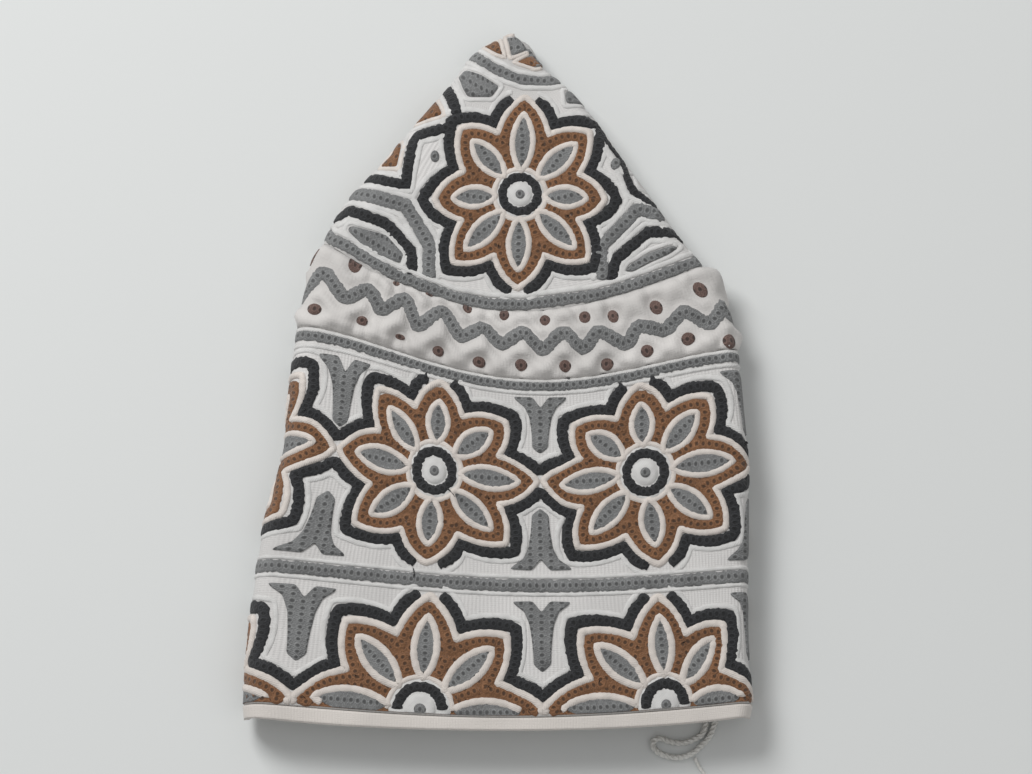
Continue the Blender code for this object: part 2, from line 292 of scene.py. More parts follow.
def patternKnots(points, along, total, down, panel):
    # Pattern places and how far round the loop each one falls
    firstLeft = len(points) - loopStretches[-1][1] // 2
    right = loopStretches[0][1] + loopStretches[1][1] // 2
    leftAlong = along[firstLeft] - total
    shown = np.concatenate([points[firstLeft:], points[:right + 1]])
    shownAlong = np.concatenate([along[firstLeft:] - total, along[:right + 1]])
    if panel is wallPattern:
        leftMost = float(through(panel["down"], panel["leftMost"], down))
        at = [-1.0, -0.5, 0.0, 0.5]
        names = ("minusOneX", "minusHalfX", "zeroX", "halfX")
        wanted = [float(through(panel["down"], panel[name], down)) for name in names]
        places = np.interp(wanted, shown[:, 0], shownAlong)
    else:
        leftMost = panel["leftMost"]
        at = list(panel["at"])
        turn = np.arctan2(shown[:, 0] - cap["peakX"], cap["peakY"] + 0.01 - shown[:, 1])
        wanted = turn[0] + (turn[-1] - turn[0]) * np.array(panel["share"])
        places = np.interp(wanted, turn, shownAlong)
    rightAlong = along[right]
    hidden = np.linspace(0, 1, 6)[:-1]
    back = panel["rightMost"] + hidden * (leftMost + panel["pitches"] - panel["rightMost"])
    at = [leftMost, *at, *back]
    places = [leftAlong, *places] + list(rightAlong + hidden * (leftAlong + total - rightAlong))
    return np.array(at), np.array(places)


def sheetNormals(place):
    around = np.roll(place, -1, axis=1) - np.roll(place, 1, axis=1)
    normal = np.cross(np.gradient(place, axis=0), around)
    length = np.linalg.norm(normal, axis=2, keepdims=True)
    return np.where(length > 1e-9, normal / np.maximum(length, 1e-9), (0.0, 1.0, 0.0))


def makeSheet(downs, columns, panel):
    # A grid of points and normals on the cloth's middle, with one column for each pattern place
    pitches, firstColumn = panel["pitches"], panel["firstColumn"]
    s = firstColumn + pitches * np.arange(columns) / columns
    rows = []
    for down in downs:
        points = loopAt(down)
        steps = np.linalg.norm(np.roll(points, -1, axis=0) - points, axis=1)
        total = steps.sum()
        along = np.concatenate([[0.0], np.cumsum(steps)[:-1]])
        at, places = patternKnots(points, along, total, down, panel)
        at = np.concatenate([at - pitches, at, at + pitches])
        places = np.concatenate([places - total, places, places + total])
        where = np.mod(through(at, places, s), total)
        loop = np.concatenate([points, points[:1]])
        loopAlong = np.append(along, total)
        rows.append(np.stack([np.interp(where, loopAlong, loop[:, k]) for k in range(3)], axis=1))
    place = np.array(rows)
    return {"place": place, "normal": sheetNormals(place), "downs": np.asarray(downs, float),
            "first": firstColumn, "pitches": pitches}


def onSheet(sheet, s, down):
    # Points and normals at pattern places, read from the grid between its corners
    rows, columns = sheet["place"].shape[:2]
    row = np.clip(np.interp(down, sheet["downs"], np.arange(rows)), 0, rows - 1.0001)
    column = np.mod((np.asarray(s) - sheet["first"]) / sheet["pitches"], 1.0) * columns
    r, c = row.astype(int), column.astype(int) % columns
    u, v = (column - np.floor(column))[:, None], (row - r)[:, None]
    c2 = (c + 1) % columns
    blend = []
    for values in (sheet["place"], sheet["normal"]):
        blend.append((values[r, c] * (1 - u) + values[r, c2] * u) * (1 - v)
                     + (values[r + 1, c] * (1 - u) + values[r + 1, c2] * u) * v)
    normal = blend[1] / np.maximum(np.linalg.norm(blend[1], axis=1, keepdims=True), 1e-9)
    return blend[0], normal


# Camera and cords come first
view = {
    "lens": 500.0,             # mm on a 36 mm sensor
    "width": 289.0,            # mm of the front layer seen across the frame
    "tilt": 10.5,              # degrees from straight above, leaning back over the hem
    "lookAt": (5.3, -2.7, 13.0),
}


def addCamera():
    data = bpy.data.cameras.new("view")
    data.lens = view["lens"]
    data.sensor_width = 36.0
    data.clip_start = 0.01
    camera = bpy.data.objects.new("view", data)
    bpy.context.scene.collection.objects.link(camera)
    reach = view["width"] * view["lens"] / 36.0
    tilt = math.radians(view["tilt"])
    target = Vector(view["lookAt"])
    camera.location = (target + Vector((0, -math.sin(tilt), math.cos(tilt))) * reach) * mm
    camera.rotation_euler = (tilt, 0, 0)
    bpy.context.scene.camera = camera


addCamera()


def hexColour(text):
    parts = [int(text[i:i + 2], 16) / 255 for i in (1, 3, 5)]
    linear = [p / 12.92 if p <= 0.04045 else ((p + 0.055) / 1.055) ** 2.4 for p in parts]
    return (*linear, 1.0)


def perUnit(size):
    # Noise scale for features of one size in mm
    return 1 / (size * mm)


def addNode(material, kind, feeds=None, output=0, **settings):
    # Adds one node with its settings. Each input takes a plain value or another node's output
    node = material.node_tree.nodes.new("ShaderNode" + kind)
    for name, value in settings.items():
        setattr(node, name, value)
    for name, feed in (feeds or {}).items():
        if isinstance(feed, bpy.types.NodeSocket):
            material.node_tree.links.new(feed, node.inputs[name])
        else:
            node.inputs[name].default_value = feed
    return node.outputs[output]


def startMaterial(name, roughness, sheen):
    material = bpy.data.materials.new(name)
    material.use_nodes = True
    shader = material.node_tree.nodes["Principled BSDF"]
    shader.inputs["Roughness"].default_value = roughness
    shader.inputs["Sheen Weight"].default_value = sheen
    shader.inputs["Sheen Roughness"].default_value = 0.5
    shader.inputs["Specular IOR Level"].default_value = 0.3
    return material, shader


def tinted(text, amount):
    return (*[min(1.0, part * amount) for part in hexColour(text)[:3]], 1.0)


def finishMaterial(material, shader, base, layers, relief):
    # Each layer mixes its colour over what lies below it, by its own share. The relief is a height,
    # how strongly it shows and how deep it is in mm
    for share, colour in layers:
        base = addNode(material, "Mix", {0: share, 6: base, 7: colour}, 2, data_type="RGBA")
    material.node_tree.links.new(base, shader.inputs["Base Color"])
    height, strength, depth = relief
    bump = addNode(material, "Bump", {"Height": height, "Strength": strength, "Distance": depth * mm})
    material.node_tree.links.new(bump, shader.inputs["Normal"])
    return material


eyelets = {
    "pitch": 1.85,         # mm from one pit to the next along a band
    "rows": 2.9,           # mm between rows of pits where an area is filled
    "stray": 0.7,          # how far the hand lets them wander
    "pitFrom": 0.28, "pitTo": 0.64,    # radii in mm between which a pit fades out
    "edgeFrom": 0.66, "edgeTo": 0.98,  # and between which the crease sets in
    "tall": 0.6,           # below 1, pits are longer across the band than along it
    "spokes": 13.0,
}


# Mercerised cotton thread in close buttonhole stitches round pierced eyelets: a row of little rings, each
# with a soft pit painted dark as shade, stitches that fan out from it, and a crease to the next ring, with
# painted shade in it
# The last argument sets how dark the painted shade in the gaps, creases and pits is
def eyeletThread(name, thread, shine, shadeStrength):
    material, shader = startMaterial(name, 0.8, shine)
    place = addNode(material, "TexCoord", output="Object")
    stray = addNode(material, "TexNoise", {"Vector": place, "Scale": perUnit(4.5), "Detail": 1.0}, 1)
    middle = -eyelets["stray"] / 2
    uv = addNode(material, "UVMap", uv_map="threadUv")
    uv = addNode(material, "VectorMath", {0: uv, 1: (middle, middle, 0.0)}, operation="ADD")
    uv = addNode(material, "VectorMath", {0: stray, 1: (eyelets["stray"],) * 3, 2: uv},
                 operation="MULTIPLY_ADD")
    along, across = eyelets["pitch"] / 2, eyelets["rows"] / 2
    cell = addNode(material, "VectorMath", {0: uv, 1: (along, across, 99.0), 2: (-along, -across, -99.0)},
                   operation="WRAP")
    x = addNode(material, "SeparateXYZ", {0: cell})
    y = x.node.outputs[1]
    far = addNode(material, "Math", {0: addNode(material, "Math", {0: y, 1: y}, operation="MULTIPLY"),
                                     1: eyelets["tall"],
                                     2: addNode(material, "Math", {0: x, 1: x}, operation="MULTIPLY")},
                  operation="MULTIPLY_ADD")
    far = addNode(material, "Math", {0: far}, operation="SQRT")
    pit = addNode(material, "MapRange", {0: far, 1: eyelets["pitFrom"], 2: eyelets["pitTo"], 3: 1.0, 4: 0.0},
                  interpolation_type="SMOOTHSTEP")
    edge = addNode(material, "MapRange", {0: far, 1: eyelets["edgeFrom"], 2: eyelets["edgeTo"]},
                   interpolation_type="SMOOTHSTEP")
    turn = addNode(material, "Math", {0: y, 1: x}, operation="ARCTAN2")
    turn = addNode(material, "Math", {0: turn, 1: eyelets["spokes"]}, operation="MULTIPLY")
    spokes = addNode(material, "Math", {0: turn}, operation="SINE")
    fibres = addNode(material, "TexNoise", {"Vector": place, "Scale": perUnit(0.6), "Detail": 3.0})
    patches = addNode(material, "TexNoise", {"Vector": place, "Scale": perUnit(6.0), "Detail": 3.0})

    # Worn patches, painted highlights on lit stitches, and painted shade in the gaps, the creases and the
    # pits
    worn = addNode(material, "MapRange", {0: patches, 1: 0.3, 2: 0.65})
    lit = addNode(material, "MapRange", {0: fibres, 1: 0.45, 2: 0.75, 4: 0.6})
    gaps = addNode(material, "MapRange", {0: spokes, 1: -0.2, 2: 1.0, 4: 0.3 * shadeStrength})
    # Painted shade: the crease between one ring and the next is darkened
    creaseShade = addNode(material, "Math", {0: edge, 1: 0.4 * shadeStrength}, operation="MULTIPLY")
    # Painted shade: each pit is darkened as a hollow
    pitShade = addNode(material, "Math", {0: pit, 1: 0.85 * shadeStrength}, operation="MULTIPLY")
    layers = [(share, tinted(thread, amount)) for share, amount in (
        (worn, 1.08), (lit, 1.6), (gaps, 0.5), (creaseShade, 0.45), (pitShade, 0.28))]
    hollow = addNode(material, "Math", {0: edge, 1: 0.6, 2: pit}, operation="MULTIPLY_ADD")
    height = addNode(material, "Math", {0: spokes, 1: 0.22, 2: fibres}, operation="MULTIPLY_ADD")
    height = addNode(material, "Math", {0: height, 1: hollow}, operation="SUBTRACT")
    return finishMaterial(material, shader, tinted(thread, 0.72), layers, (height, 0.8, 0.3))


# Soft cotton cord laid on the cloth and caught down by close small stitches: a matt, slightly
# uneven ridge with faint slanting turns and raised fibres
def couchedCord(name, colour, twist, turns, shine):
    material, shader = startMaterial(name, 0.88, shine)
    place = addNode(material, "TexCoord", output="Object")
    x = addNode(material, "SeparateXYZ", {0: addNode(material, "UVMap", uv_map="threadUv")})
    slant = addNode(material, "Math", {0: x.node.outputs[1], 1: 0.9, 2: x}, operation="MULTIPLY_ADD")
    slant = addNode(material, "Math", {0: slant, 1: tau / twist}, operation="MULTIPLY")
    plies = addNode(material, "Math", {0: slant}, operation="SINE")
    fibres = addNode(material, "TexNoise", {"Vector": place, "Scale": perUnit(0.5), "Detail": 3.0})
    lumps = addNode(material, "TexNoise", {"Vector": place, "Scale": perUnit(3.0), "Detail": 2.0})
    worn = addNode(material, "MapRange", {0: lumps, 1: 0.3, 2: 0.7})
    shaded = addNode(material, "MapRange", {0: plies, 1: -0.4, 2: -1.0, 4: 0.5 * turns})
    layers = ((worn, tinted(colour, 1.03)), (shaded, tinted(colour, 0.7)))
    height = addNode(material, "Math", {0: plies, 1: 0.5 * turns, 2: fibres}, operation="MULTIPLY_ADD")
    height = addNode(material, "Math", {0: lumps, 1: 0.9, 2: height}, operation="MULTIPLY_ADD")
    return finishMaterial(material, shader, tinted(colour, 0.86), layers, (height, 0.7, 0.25))


# Plain woven cotton, quilted in close rows of running stitch: fine ribs that the weave crosses,
# faint marks of handling and a matt surface
def quiltedCotton(name, colour, rib, ribbed, shine):
    material, shader = startMaterial(name, 0.9, shine)
    place = addNode(material, "TexCoord", output="Object")
    stray = addNode(material, "TexNoise", {"Vector": place, "Scale": perUnit(8.0), "Detail": 2.0})
    x = addNode(material, "SeparateXYZ", {0: addNode(material, "UVMap", uv_map="threadUv")})
    around = addNode(material, "Math", {0: stray, 1: 0.5, 2: x}, operation="MULTIPLY_ADD")
    around = addNode(material, "Math", {0: around, 1: tau / rib}, operation="MULTIPLY")
    ribs = addNode(material, "Math", {0: around}, operation="SINE")
    rows = addNode(material, "Math", {0: x.node.outputs[1], 1: tau / (0.6 * rib)}, operation="MULTIPLY")
    rows = addNode(material, "Math", {0: rows}, operation="SINE")
    weave = addNode(material, "Math", {0: rows, 1: 0.5, 2: ribs}, operation="MULTIPLY_ADD")
    fibres = addNode(material, "TexNoise", {"Vector": place, "Scale": perUnit(0.6), "Detail": 4.0})
    patches = addNode(material, "TexNoise", {"Vector": place, "Scale": perUnit(22.0), "Detail": 3.0})
    worn = addNode(material, "MapRange", {0: patches, 1: 0.3, 2: 0.7})
    shaded = addNode(material, "MapRange", {0: weave, 1: -0.3, 2: -1.5, 4: 0.3 * ribbed})
    layers = ((worn, tinted(colour, 1.04)), (shaded, tinted(colour, 0.75)))
    height = addNode(material, "Math", {0: weave, 1: 0.35 * ribbed, 2: fibres}, operation="MULTIPLY_ADD")
    return finishMaterial(material, shader, tinted(colour, 0.86), layers, (height, 0.6, 0.22))


finishes = {
    "brown": eyeletThread("mercerised_cotton_thread_brown", "#8A6244", 0.2, 1.0),
    "dark": eyeletThread("mercerised_cotton_thread_black", "#343537", 0.12, 0.9),
    "grey": eyeletThread("mercerised_cotton_thread_grey", "#868787", 0.15, 0.85),
    "dots": eyeletThread("mercerised_cotton_thread_dull_brown", "#766059", 0.15, 1.0),
    "cord": couchedCord("couched_cotton_cord_unbleached", "#D8D0C9", 0.7, 0.35, 0.25),
    "white": couchedCord("couched_cotton_cord_white", "#D3D2D0", 0.7, 0.3, 0.25),
    "ground": quiltedCotton("quilted_cotton_white", "#D2D0CE", 1.0, 1.0, 0.15),
    "soft": quiltedCotton("gathered_cotton_lawn_white", "#CECBC8", 0.8, 0.3, 0.2),
    "binding": quiltedCotton("folded_cotton_binding_cream", "#D5CFC9", 0.7, 0.5, 0.2),
    "yarn": couchedCord("spun_cotton_yarn_white", "#E4E3DE", 1.3, 0.8, 0.35),
}
print("finishes made")


# Loose yarn: the same routes as in the part's source, in millimetres
yarn = {
    "diameter": 1.7,
    "route": ((58.8, -93.3), (57.8, -98.5), (55.2, -100.6), (51.8, -101.7), (48.4, -101.3),
              (45.7, -100.4), (43.9, -101.1), (43.8, -103.0), (45.9, -104.8), (49.8, -105.8),
              (53.8, -105.0), (57.1, -102.5), (59.7, -99.3), (61.9, -93.0)),
    "stiffness": "limp",
}
tail = {
    "diameter": 0.9,
    "route": ((55.28, -105.67), (56.4, -108.2), (58.0, -110.4), (60.3, -112.5), (63.6, -114.9),
              (67.6, -117.9), (70.0, -121.8), (70.9, -126.4), (73.4, -131.0)),
    "stiffness": "limp",
}


def smoothRoute(route, spacing):
    last = len(route) - 1
    points = []
    for i in range(last):
        before, start = Vector(route[max(0, i - 1)]), Vector(route[i])
        stop, after = Vector(route[i + 1]), Vector(route[min(last, i + 2)])
        pieces = max(1, math.ceil((stop - start).length / spacing))
        for k in range(pieces):
            t = k / pieces
            points.append(0.5 * (2 * start + (stop - before) * t
                                 + (2 * before - 5 * start + 4 * stop - after) * t ** 2
                                 + (3 * start - before - 3 * stop + after) * t ** 3))
    points.append(Vector(route[last]))
    return points


strand = {
    "step": 0.35,              # mm along the route from one ring of points to the next
    "sides": 8,
    "turn": 5.0,               # mm along which the plies go once round
    "plyShare": 0.56,          # of the strand's radius
    "tip": 0.02,               # of the ply's radius
    "fuzz": 0.08, "fuzzTurn": 3.1,
}


def addStrand(name, node, recipe, plies):
    # Plies laid round the route in a slow twist, each a closed tube spun from a small circle
    path = smoothRoute(recipe["route"], strand["step"])
    path = [Vector((p.x, p.y, recipe["diameter"] / 2)) for p in path]
    radius = recipe["diameter"] / 2
    ply = radius * (strand["plyShare"] if plies > 1 else 1.0)
    throw = radius - ply
    up = Vector((0, 0, 1))
    mesh = bmesh.new()
    uvOf = []
    sides = strand["sides"]
    lengths = [0.0]
    for a, b in zip(path[:-1], path[1:]):
        lengths.append(lengths[-1] + (b - a).length)
    for k in range(plies):
        grid = bmesh.ops.create_grid(mesh, x_segments=sides, y_segments=len(path) - 1, size=1)["verts"]
        for index, vert in enumerate(grid):
            j, i = divmod(index, sides + 1)
            ahead = (path[min(j + 1, len(path) - 1)] - path[max(j - 1, 0)]).normalized()
            side = Vector((-ahead.y, ahead.x, 0))
            twist = tau * lengths[j] / strand["turn"] + tau * k / plies
            middle = path[j] + side * throw * math.cos(twist) + up * throw * math.sin(twist)
            angle = -tau * i / sides
            slim = strand["tip"] if j in (0, len(path) - 1) else 1.0
            fuzz = 1.0 + strand["fuzz"] * math.sin(lengths[j] * strand["fuzzTurn"] + k * 2 + i)
            out = side * math.cos(angle) + up * math.sin(angle)
            vert.co = (middle + out * ply * slim * fuzz) * mm
            uvOf.append((lengths[j], tau * ply * i / sides))
    piece = closePiece(mesh, uvOf, name, finishes["yarn"], mergeAt=2e-6)
    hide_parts(node)
    return piece, [tuple(p * mm) for p in path], lengths[-1] * mm


def newPiece(name, data, material):
    data.materials.append(material)
    piece = bpy.data.objects.new(name, data)
    bpy.context.scene.collection.objects.link(piece)
    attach(piece, "root")
    return piece


def closePiece(mesh, uvOf, name, material, mergeAt):
    # Gives the mesh its own map, closes its seams and turns it into a piece of the object
    layer = mesh.loops.layers.uv.new("threadUv")
    mesh.verts.index_update()
    for face in mesh.faces:
        for loop in face.loops:
            loop[layer].uv = uvOf[loop.vert.index]
        face.smooth = True
    bmesh.ops.remove_doubles(mesh, verts=mesh.verts, dist=mergeAt)
    data = bpy.data.meshes.new(name)
    mesh.to_mesh(data)
    mesh.free()
    return newPiece(name, data, material)


yarnPiece, yarnPath, yarnLength = addStrand("loose_yarn", "hem_yarn", yarn, 3)
tailPiece, tailPath, tailLength = addStrand("loose_thread", "yarn_tail", tail, 1)
print("yarn laid", round(yarnLength, 4), round(tailLength, 4))


# Cloth shells: fine grids on the folds. The ground sits under the thread that is laid on it
ground = {
    "outward": 0.42,      # mm from the cloth's middle to the ground's outer face
    "thickness": 1.1,
    "stripOver": 0.1,     # mm by which the strip's cloth lies further out
    "wallColumns": 512, "wallRows": 72,
    "stripColumns": 624, "stripRows": 26,
    "hemRows": 6,
    "crownColumns": 360, "crownRows": 52,
}


def evenly(start, stop, rows):
    return np.linspace(start, stop, rows + 1)


half = cap["seamGap"] / 2
peakDowns = [0.03, 0.25, 0.7, 1.4, 2.3, 3.2, 4.2]
crownDowns = np.concatenate([peakDowns, evenly(5.5, cap["seamDown"] - half, ground["crownRows"])])
crownSheet = makeSheet(crownDowns, ground["crownColumns"], crownPattern)
stripSheet = makeSheet(evenly(cap["seamDown"] + half, cap["wallDown"] - half, ground["stripRows"]),
                       ground["stripColumns"], wallPattern)
wallSheet = makeSheet(evenly(cap["wallDown"] + half, cap["hemDown"] - half, ground["wallRows"]),
                      ground["wallColumns"], wallPattern)
hemSheet = makeSheet(evenly(cap["hemDown"] + half, cap["edgeDown"], ground["hemRows"]),
                     ground["wallColumns"], wallPattern)
print("folds worked out")


def addShell(name, node, sheet, material, outward, thickness):
    rows, columns = sheet["place"].shape[:2]
    mesh = bmesh.new()
    grid = bmesh.ops.create_grid(mesh, x_segments=columns, y_segments=rows - 1, size=1)["verts"]
    surface = sheet["place"] + sheet["normal"] * outward
    middle = sheet["place"][rows // 2]
    girth = np.linalg.norm(np.roll(middle, -1, axis=0) - middle, axis=1).sum()
    uvOf = []
    for index, vert in enumerate(grid):
        j, i = divmod(index, columns + 1)
        vert.co = surface[j, i % columns] * mm
        uvOf.append((girth * i / columns, sheet["downs"][j]))
    piece = closePiece(mesh, uvOf, name, material, mergeAt=1e-6)
    # Rows run down the cloth and columns anticlockwise round it, so the grid's faces look inwards
    piece.data.flip_normals()
    solid = piece.modifiers.new("cloth", "SOLIDIFY")
    solid.thickness = thickness * mm
    solid.offset = -1.0
    solid.use_rim = True
    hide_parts(node)
    return piece


crownPiece = addShell("crown_cloth", "crown", crownSheet, finishes["ground"],
                      ground["outward"], ground["thickness"])
wallPiece = addShell("side_wall_cloth", "side_wall", wallSheet, finishes["ground"],
                     ground["outward"], ground["thickness"])
hemPiece = addShell("hem_binding", "hem_band", hemSheet, finishes["binding"],
                    cap["cloth"] / 2, cap["cloth"])
print("cloth made")


# Where the thread is laid. A batch gathers all the grids of one colour into one piece
def newBatch():
    return {"grids": [], "places": [], "uvs": []}


laid = {
    "step": 0.62,          # mm between the rings of a band
    "bandStray": 0.27,     # how far hand stitches stray at an edge
    "cordStray": 0.1,
    "sunk": 0.3,           # how deep the edges go into the ground
    "endSunk": 0.1,
    "uneven": 0.12,        # share by which a band's height changes from ring to ring
    "corner": 0.55,        # the larger, the less a band's sharp corner reaches past its sides
    "patchStep": 0.7,      # mm between the points round a patch
    "patchRing": 1.3,      # mm between its rings
    "wallShown": (-3.55, 1.12),    # pattern places that can be seen from outside
    "crownShown": (-1.97, 0.66),
    "wallBack": (-1.38, -1.24),    # thread lies flatter past here, under the cap's weight
    "crownBack": (-0.8, -0.7),
    "pressed": 0.25,
}
profiles = {
    "band": ((-1.0, -1.0), (-0.94, 0.5), (-0.62, 0.96), (0.0, 1.0), (0.62, 0.96), (0.94, 0.5), (1.0, -1.0)),
    "cord": ((-1.0, -1.0), (-0.82, 0.4), (-0.42, 0.88), (0.0, 1.0), (0.42, 0.88), (0.82, 0.4), (1.0, -1.0)),
}
chance = np.random.default_rng(7)


def slopes(sheet, s, down, nudgeS=0.004, nudgeDown=0.3):
    # How the cloth's place changes with each pattern coordinate
    low, high = sheet["downs"][0], sheet["downs"][-1]
    ahead, behind = np.clip(down + nudgeDown, low, high), np.clip(down - nudgeDown, low, high)
    perS = (onSheet(sheet, s + nudgeS, down)[0] - onSheet(sheet, s - nudgeS, down)[0]) / (2 * nudgeS)
    perDown = (onSheet(sheet, s, ahead)[0] - onSheet(sheet, s, behind)[0]) / (ahead - behind)[:, None]
    return perS, perDown


def stepAside(perS, perDown, move):
    # The change in pattern coordinates that a small move along the cloth makes
    a, b, c = ((x * y).sum(axis=-1) for x, y in ((perS, perS), (perS, perDown), (perDown, perDown)))
    p, q = (perS * move).sum(axis=-1), (perDown * move).sum(axis=-1)
    whole = np.maximum(a * c - b * b, 1e-9)
    return (p * c - q * b) / whole, (q * a - p * b) / whole


def spaced(sheet, s, down, closed, step, ease=1):
    # The same route with points an even step apart along the cloth, and its corners eased
    if closed:
        s, down = np.append(s, s[0]), np.append(down, down[0])
    place = onSheet(sheet, s, down)[0]
    along = np.concatenate([[0.0], np.cumsum(np.linalg.norm(np.diff(place, axis=0), axis=1))])
    count = max(4, int(round(along[-1] / step)))
    where = np.linspace(0, along[-1], count + 1)
    s, down = np.interp(where, along, s), np.interp(where, along, down)
    if closed:
        s, down = s[:-1], down[:-1]
    for _ in range(ease):
        if closed:
            s = (np.roll(s, 1) + 2 * s + np.roll(s, -1)) / 4
            down = (np.roll(down, 1) + 2 * down + np.roll(down, -1)) / 4
        elif len(s) > 3:
            s[1:-1] = (s[:-2] + 2 * s[1:-1] + s[2:]) / 4
            down[1:-1] = (down[:-2] + 2 * down[1:-1] + down[2:]) / 4
    return s, down


def shownPart(sheet):
    return laid["wallShown"] if sheet["pitches"] == wallPattern["pitches"] else laid["crownShown"]


def shownRuns(s, down, closed, lowest, shown):
    # Which points of a route can be seen, run by run, and whether a run still closes on itself
    low, high = shown
    keep = (s > low) & (s < high) & (down < lowest)
    order = np.arange(len(s))
    if keep.all():
        return [(order, closed)]
    if closed:
        order = np.roll(order, -int(np.argmin(keep)))
    edges = np.flatnonzero(np.diff(np.concatenate([[False], keep[order], [False]]).astype(int)))
    return [(order[a:b], False) for a, b in zip(edges[::2], edges[1::2]) if b - a > 4]


def pressed(sheet, s):
    flat, full = laid["wallBack"] if sheet["pitches"] == wallPattern["pitches"] else laid["crownBack"]
    return laid["pressed"] + (1 - laid["pressed"]) * smoothStep(flat, full, s)


def layBand(batch, sheet, route, width, lift, profile="band", closed=False, lowest=999.0, shown=None):
    # A raised band of thread along a route of pattern places. Its width may change evenly along it
    if len(route[0]) < 3:
        return
    routeS, routeDown = spaced(sheet, *(np.asarray(v, float) for v in route), closed, laid["step"])
    widths = np.atleast_1d(np.asarray(width, float))
    widths = np.interp(np.linspace(0, 1, len(routeS)), np.linspace(0, 1, len(widths)), widths)
    for run, whole in shownRuns(routeS, routeDown, closed, lowest, shown or shownPart(sheet)):
        s, down, half = routeS[run], routeDown[run], widths[run] / 2
        place, normal = onSheet(sheet, s, down)
        if whole:
            before, after = place - np.roll(place, 1, axis=0), np.roll(place, -1, axis=0) - place
        else:
            gaps = np.diff(place, axis=0)
            before, after = np.concatenate([gaps[:1], gaps]), np.concatenate([gaps, gaps[-1:]])
        sides = []
        for ahead in (before, after):
            side = np.cross(ahead, normal)
            sides.append(side / np.maximum(np.linalg.norm(side, axis=1, keepdims=True), 1e-9))
        side = (sides[0] + sides[1]) / 2
        side = side / np.maximum((side * side).sum(axis=1, keepdims=True), laid["corner"])
        perS, perDown = slopes(sheet, s, down)
        present = np.ones(len(s))
        if not whole:
            present[0] = present[-1] = 0.0
        uneven = 1 + laid["uneven"] * chance.standard_normal(len(s)).clip(-2, 2)
        rise = lift * pressed(sheet, s) * uneven
        stray = [chance.uniform(-1, 1, len(s)) * laid[profile + "Stray"] for _ in range(2)]
        rings, maps = [], []
        along = np.concatenate([[0.0], np.cumsum(np.linalg.norm(np.diff(place, axis=0), axis=1))])
        for across, height in (*profiles[profile], profiles[profile][0]):
            reach = across * (half + stray[0 if across < 0 else 1] * abs(across)) * present
            moveS, moveDown = stepAside(perS, perDown, side * reach[:, None])
            spot, up = onSheet(sheet, s + moveS, down + moveDown)
            raised = rise * height if height > 0 else -laid["sunk"] * pressed(sheet, s)
            tall = np.where(present > 0, raised, -laid["endSunk"])
            rings.append(spot + up * (ground["outward"] + tall)[:, None])
            maps.append(np.stack([along, across * half], axis=1))
        rings, maps = np.stack(rings, axis=1), np.stack(maps, axis=1)
        if whole:
            rings = np.concatenate([rings, rings[:1]])
            last = maps[-1:].copy()
            last[..., 0] += laid["step"]
            maps = np.concatenate([maps, last])
        batch["grids"].append(rings.shape[:2])
        batch["places"].append(rings.reshape(-1, 3))
        batch["uvs"].append(maps.reshape(-1, 2))


def layPatch(batch, sheet, edge, centre, lift, rim=0.35, lowest=999.0, shown=None, turn=0.0):
    # A raised patch inside a closed edge, filled in rings round its middle, its stitches turned
    s, down = spaced(sheet, *(np.asarray(v, float) for v in edge), True, laid["patchStep"])
    low, high = shown or shownPart(sheet)
    if s.max() < low or s.min() > high:
        return
    s, down = np.clip(s, low, high), np.minimum(down, lowest)
    centre = np.clip(centre[0], low, high), centre[1]
    s0, down0 = centre[0], min(centre[1], lowest)
    perS, perDown = slopes(sheet, np.array([s0]), np.array([down0]))
    scaleS, scaleDown = np.linalg.norm(perS[0]), np.linalg.norm(perDown[0])
    size = np.hypot((s - s0) * scaleS, (down - down0) * scaleDown).mean()
    swept = ((s - s0) * np.roll(down - down0, -1) - np.roll(s - s0, -1) * (down - down0)).sum()
    if swept < 0:
        s, down = s[::-1], down[::-1]
    s, down = np.append(s, s[0]), np.append(down, down[0])
    steps = max(2, int(size / laid["patchRing"]))
    shares = [*(np.arange(steps) / steps * (1 - rim / size)), 1 - rim / size, 1.0, 0.0]
    rings, maps = [], []
    for index, share in enumerate(shares):
        ringS, ringDown = s0 + (s - s0) * share, down0 + (down - down0) * share
        spot, up = onSheet(sheet, ringS, ringDown)
        flat = pressed(sheet, ringS)
        tall = -laid["sunk"] * flat if index >= len(shares) - 2 else lift * flat
        rings.append(spot + up * (ground["outward"] + tall)[:, None])
        right, lower = (ringS - s0) * scaleS, (ringDown - down0) * scaleDown
        maps.append(np.stack([right * math.cos(turn) - lower * math.sin(turn),
                              right * math.sin(turn) + lower * math.cos(turn)], axis=1))
    batch["grids"].append((len(shares), len(s)))
    batch["places"].append(np.concatenate(rings))
    batch["uvs"].append(np.concatenate(maps))


def finishBatch(name, batch, material):
    mesh = bmesh.new()
    for rows, columns in batch["grids"]:
        bmesh.ops.create_grid(mesh, x_segments=columns - 1, y_segments=rows - 1, size=1)
    data = bpy.data.meshes.new(name)
    mesh.to_mesh(data)
    mesh.free()
    places = np.concatenate(batch["places"]) * mm
    data.vertices.foreach_set("co", places.ravel())
    corners = np.empty(len(data.loops), int)
    data.loops.foreach_get("vertex_index", corners)
    layer = data.uv_layers.new(name="threadUv")
    layer.data.foreach_set("uv", np.concatenate(batch["uvs"])[corners].ravel())
    mesh = bmesh.new()
    mesh.from_mesh(data)
    bmesh.ops.remove_doubles(mesh, verts=mesh.verts, dist=2e-7)
    bmesh.ops.dissolve_degenerate(mesh, edges=mesh.edges, dist=1e-8)
    for face in mesh.faces:
        face.smooth = True
    mesh.to_mesh(data)
    mesh.free()
    print(name, len(data.polygons), "faces")
    return newPiece(name, data, material)


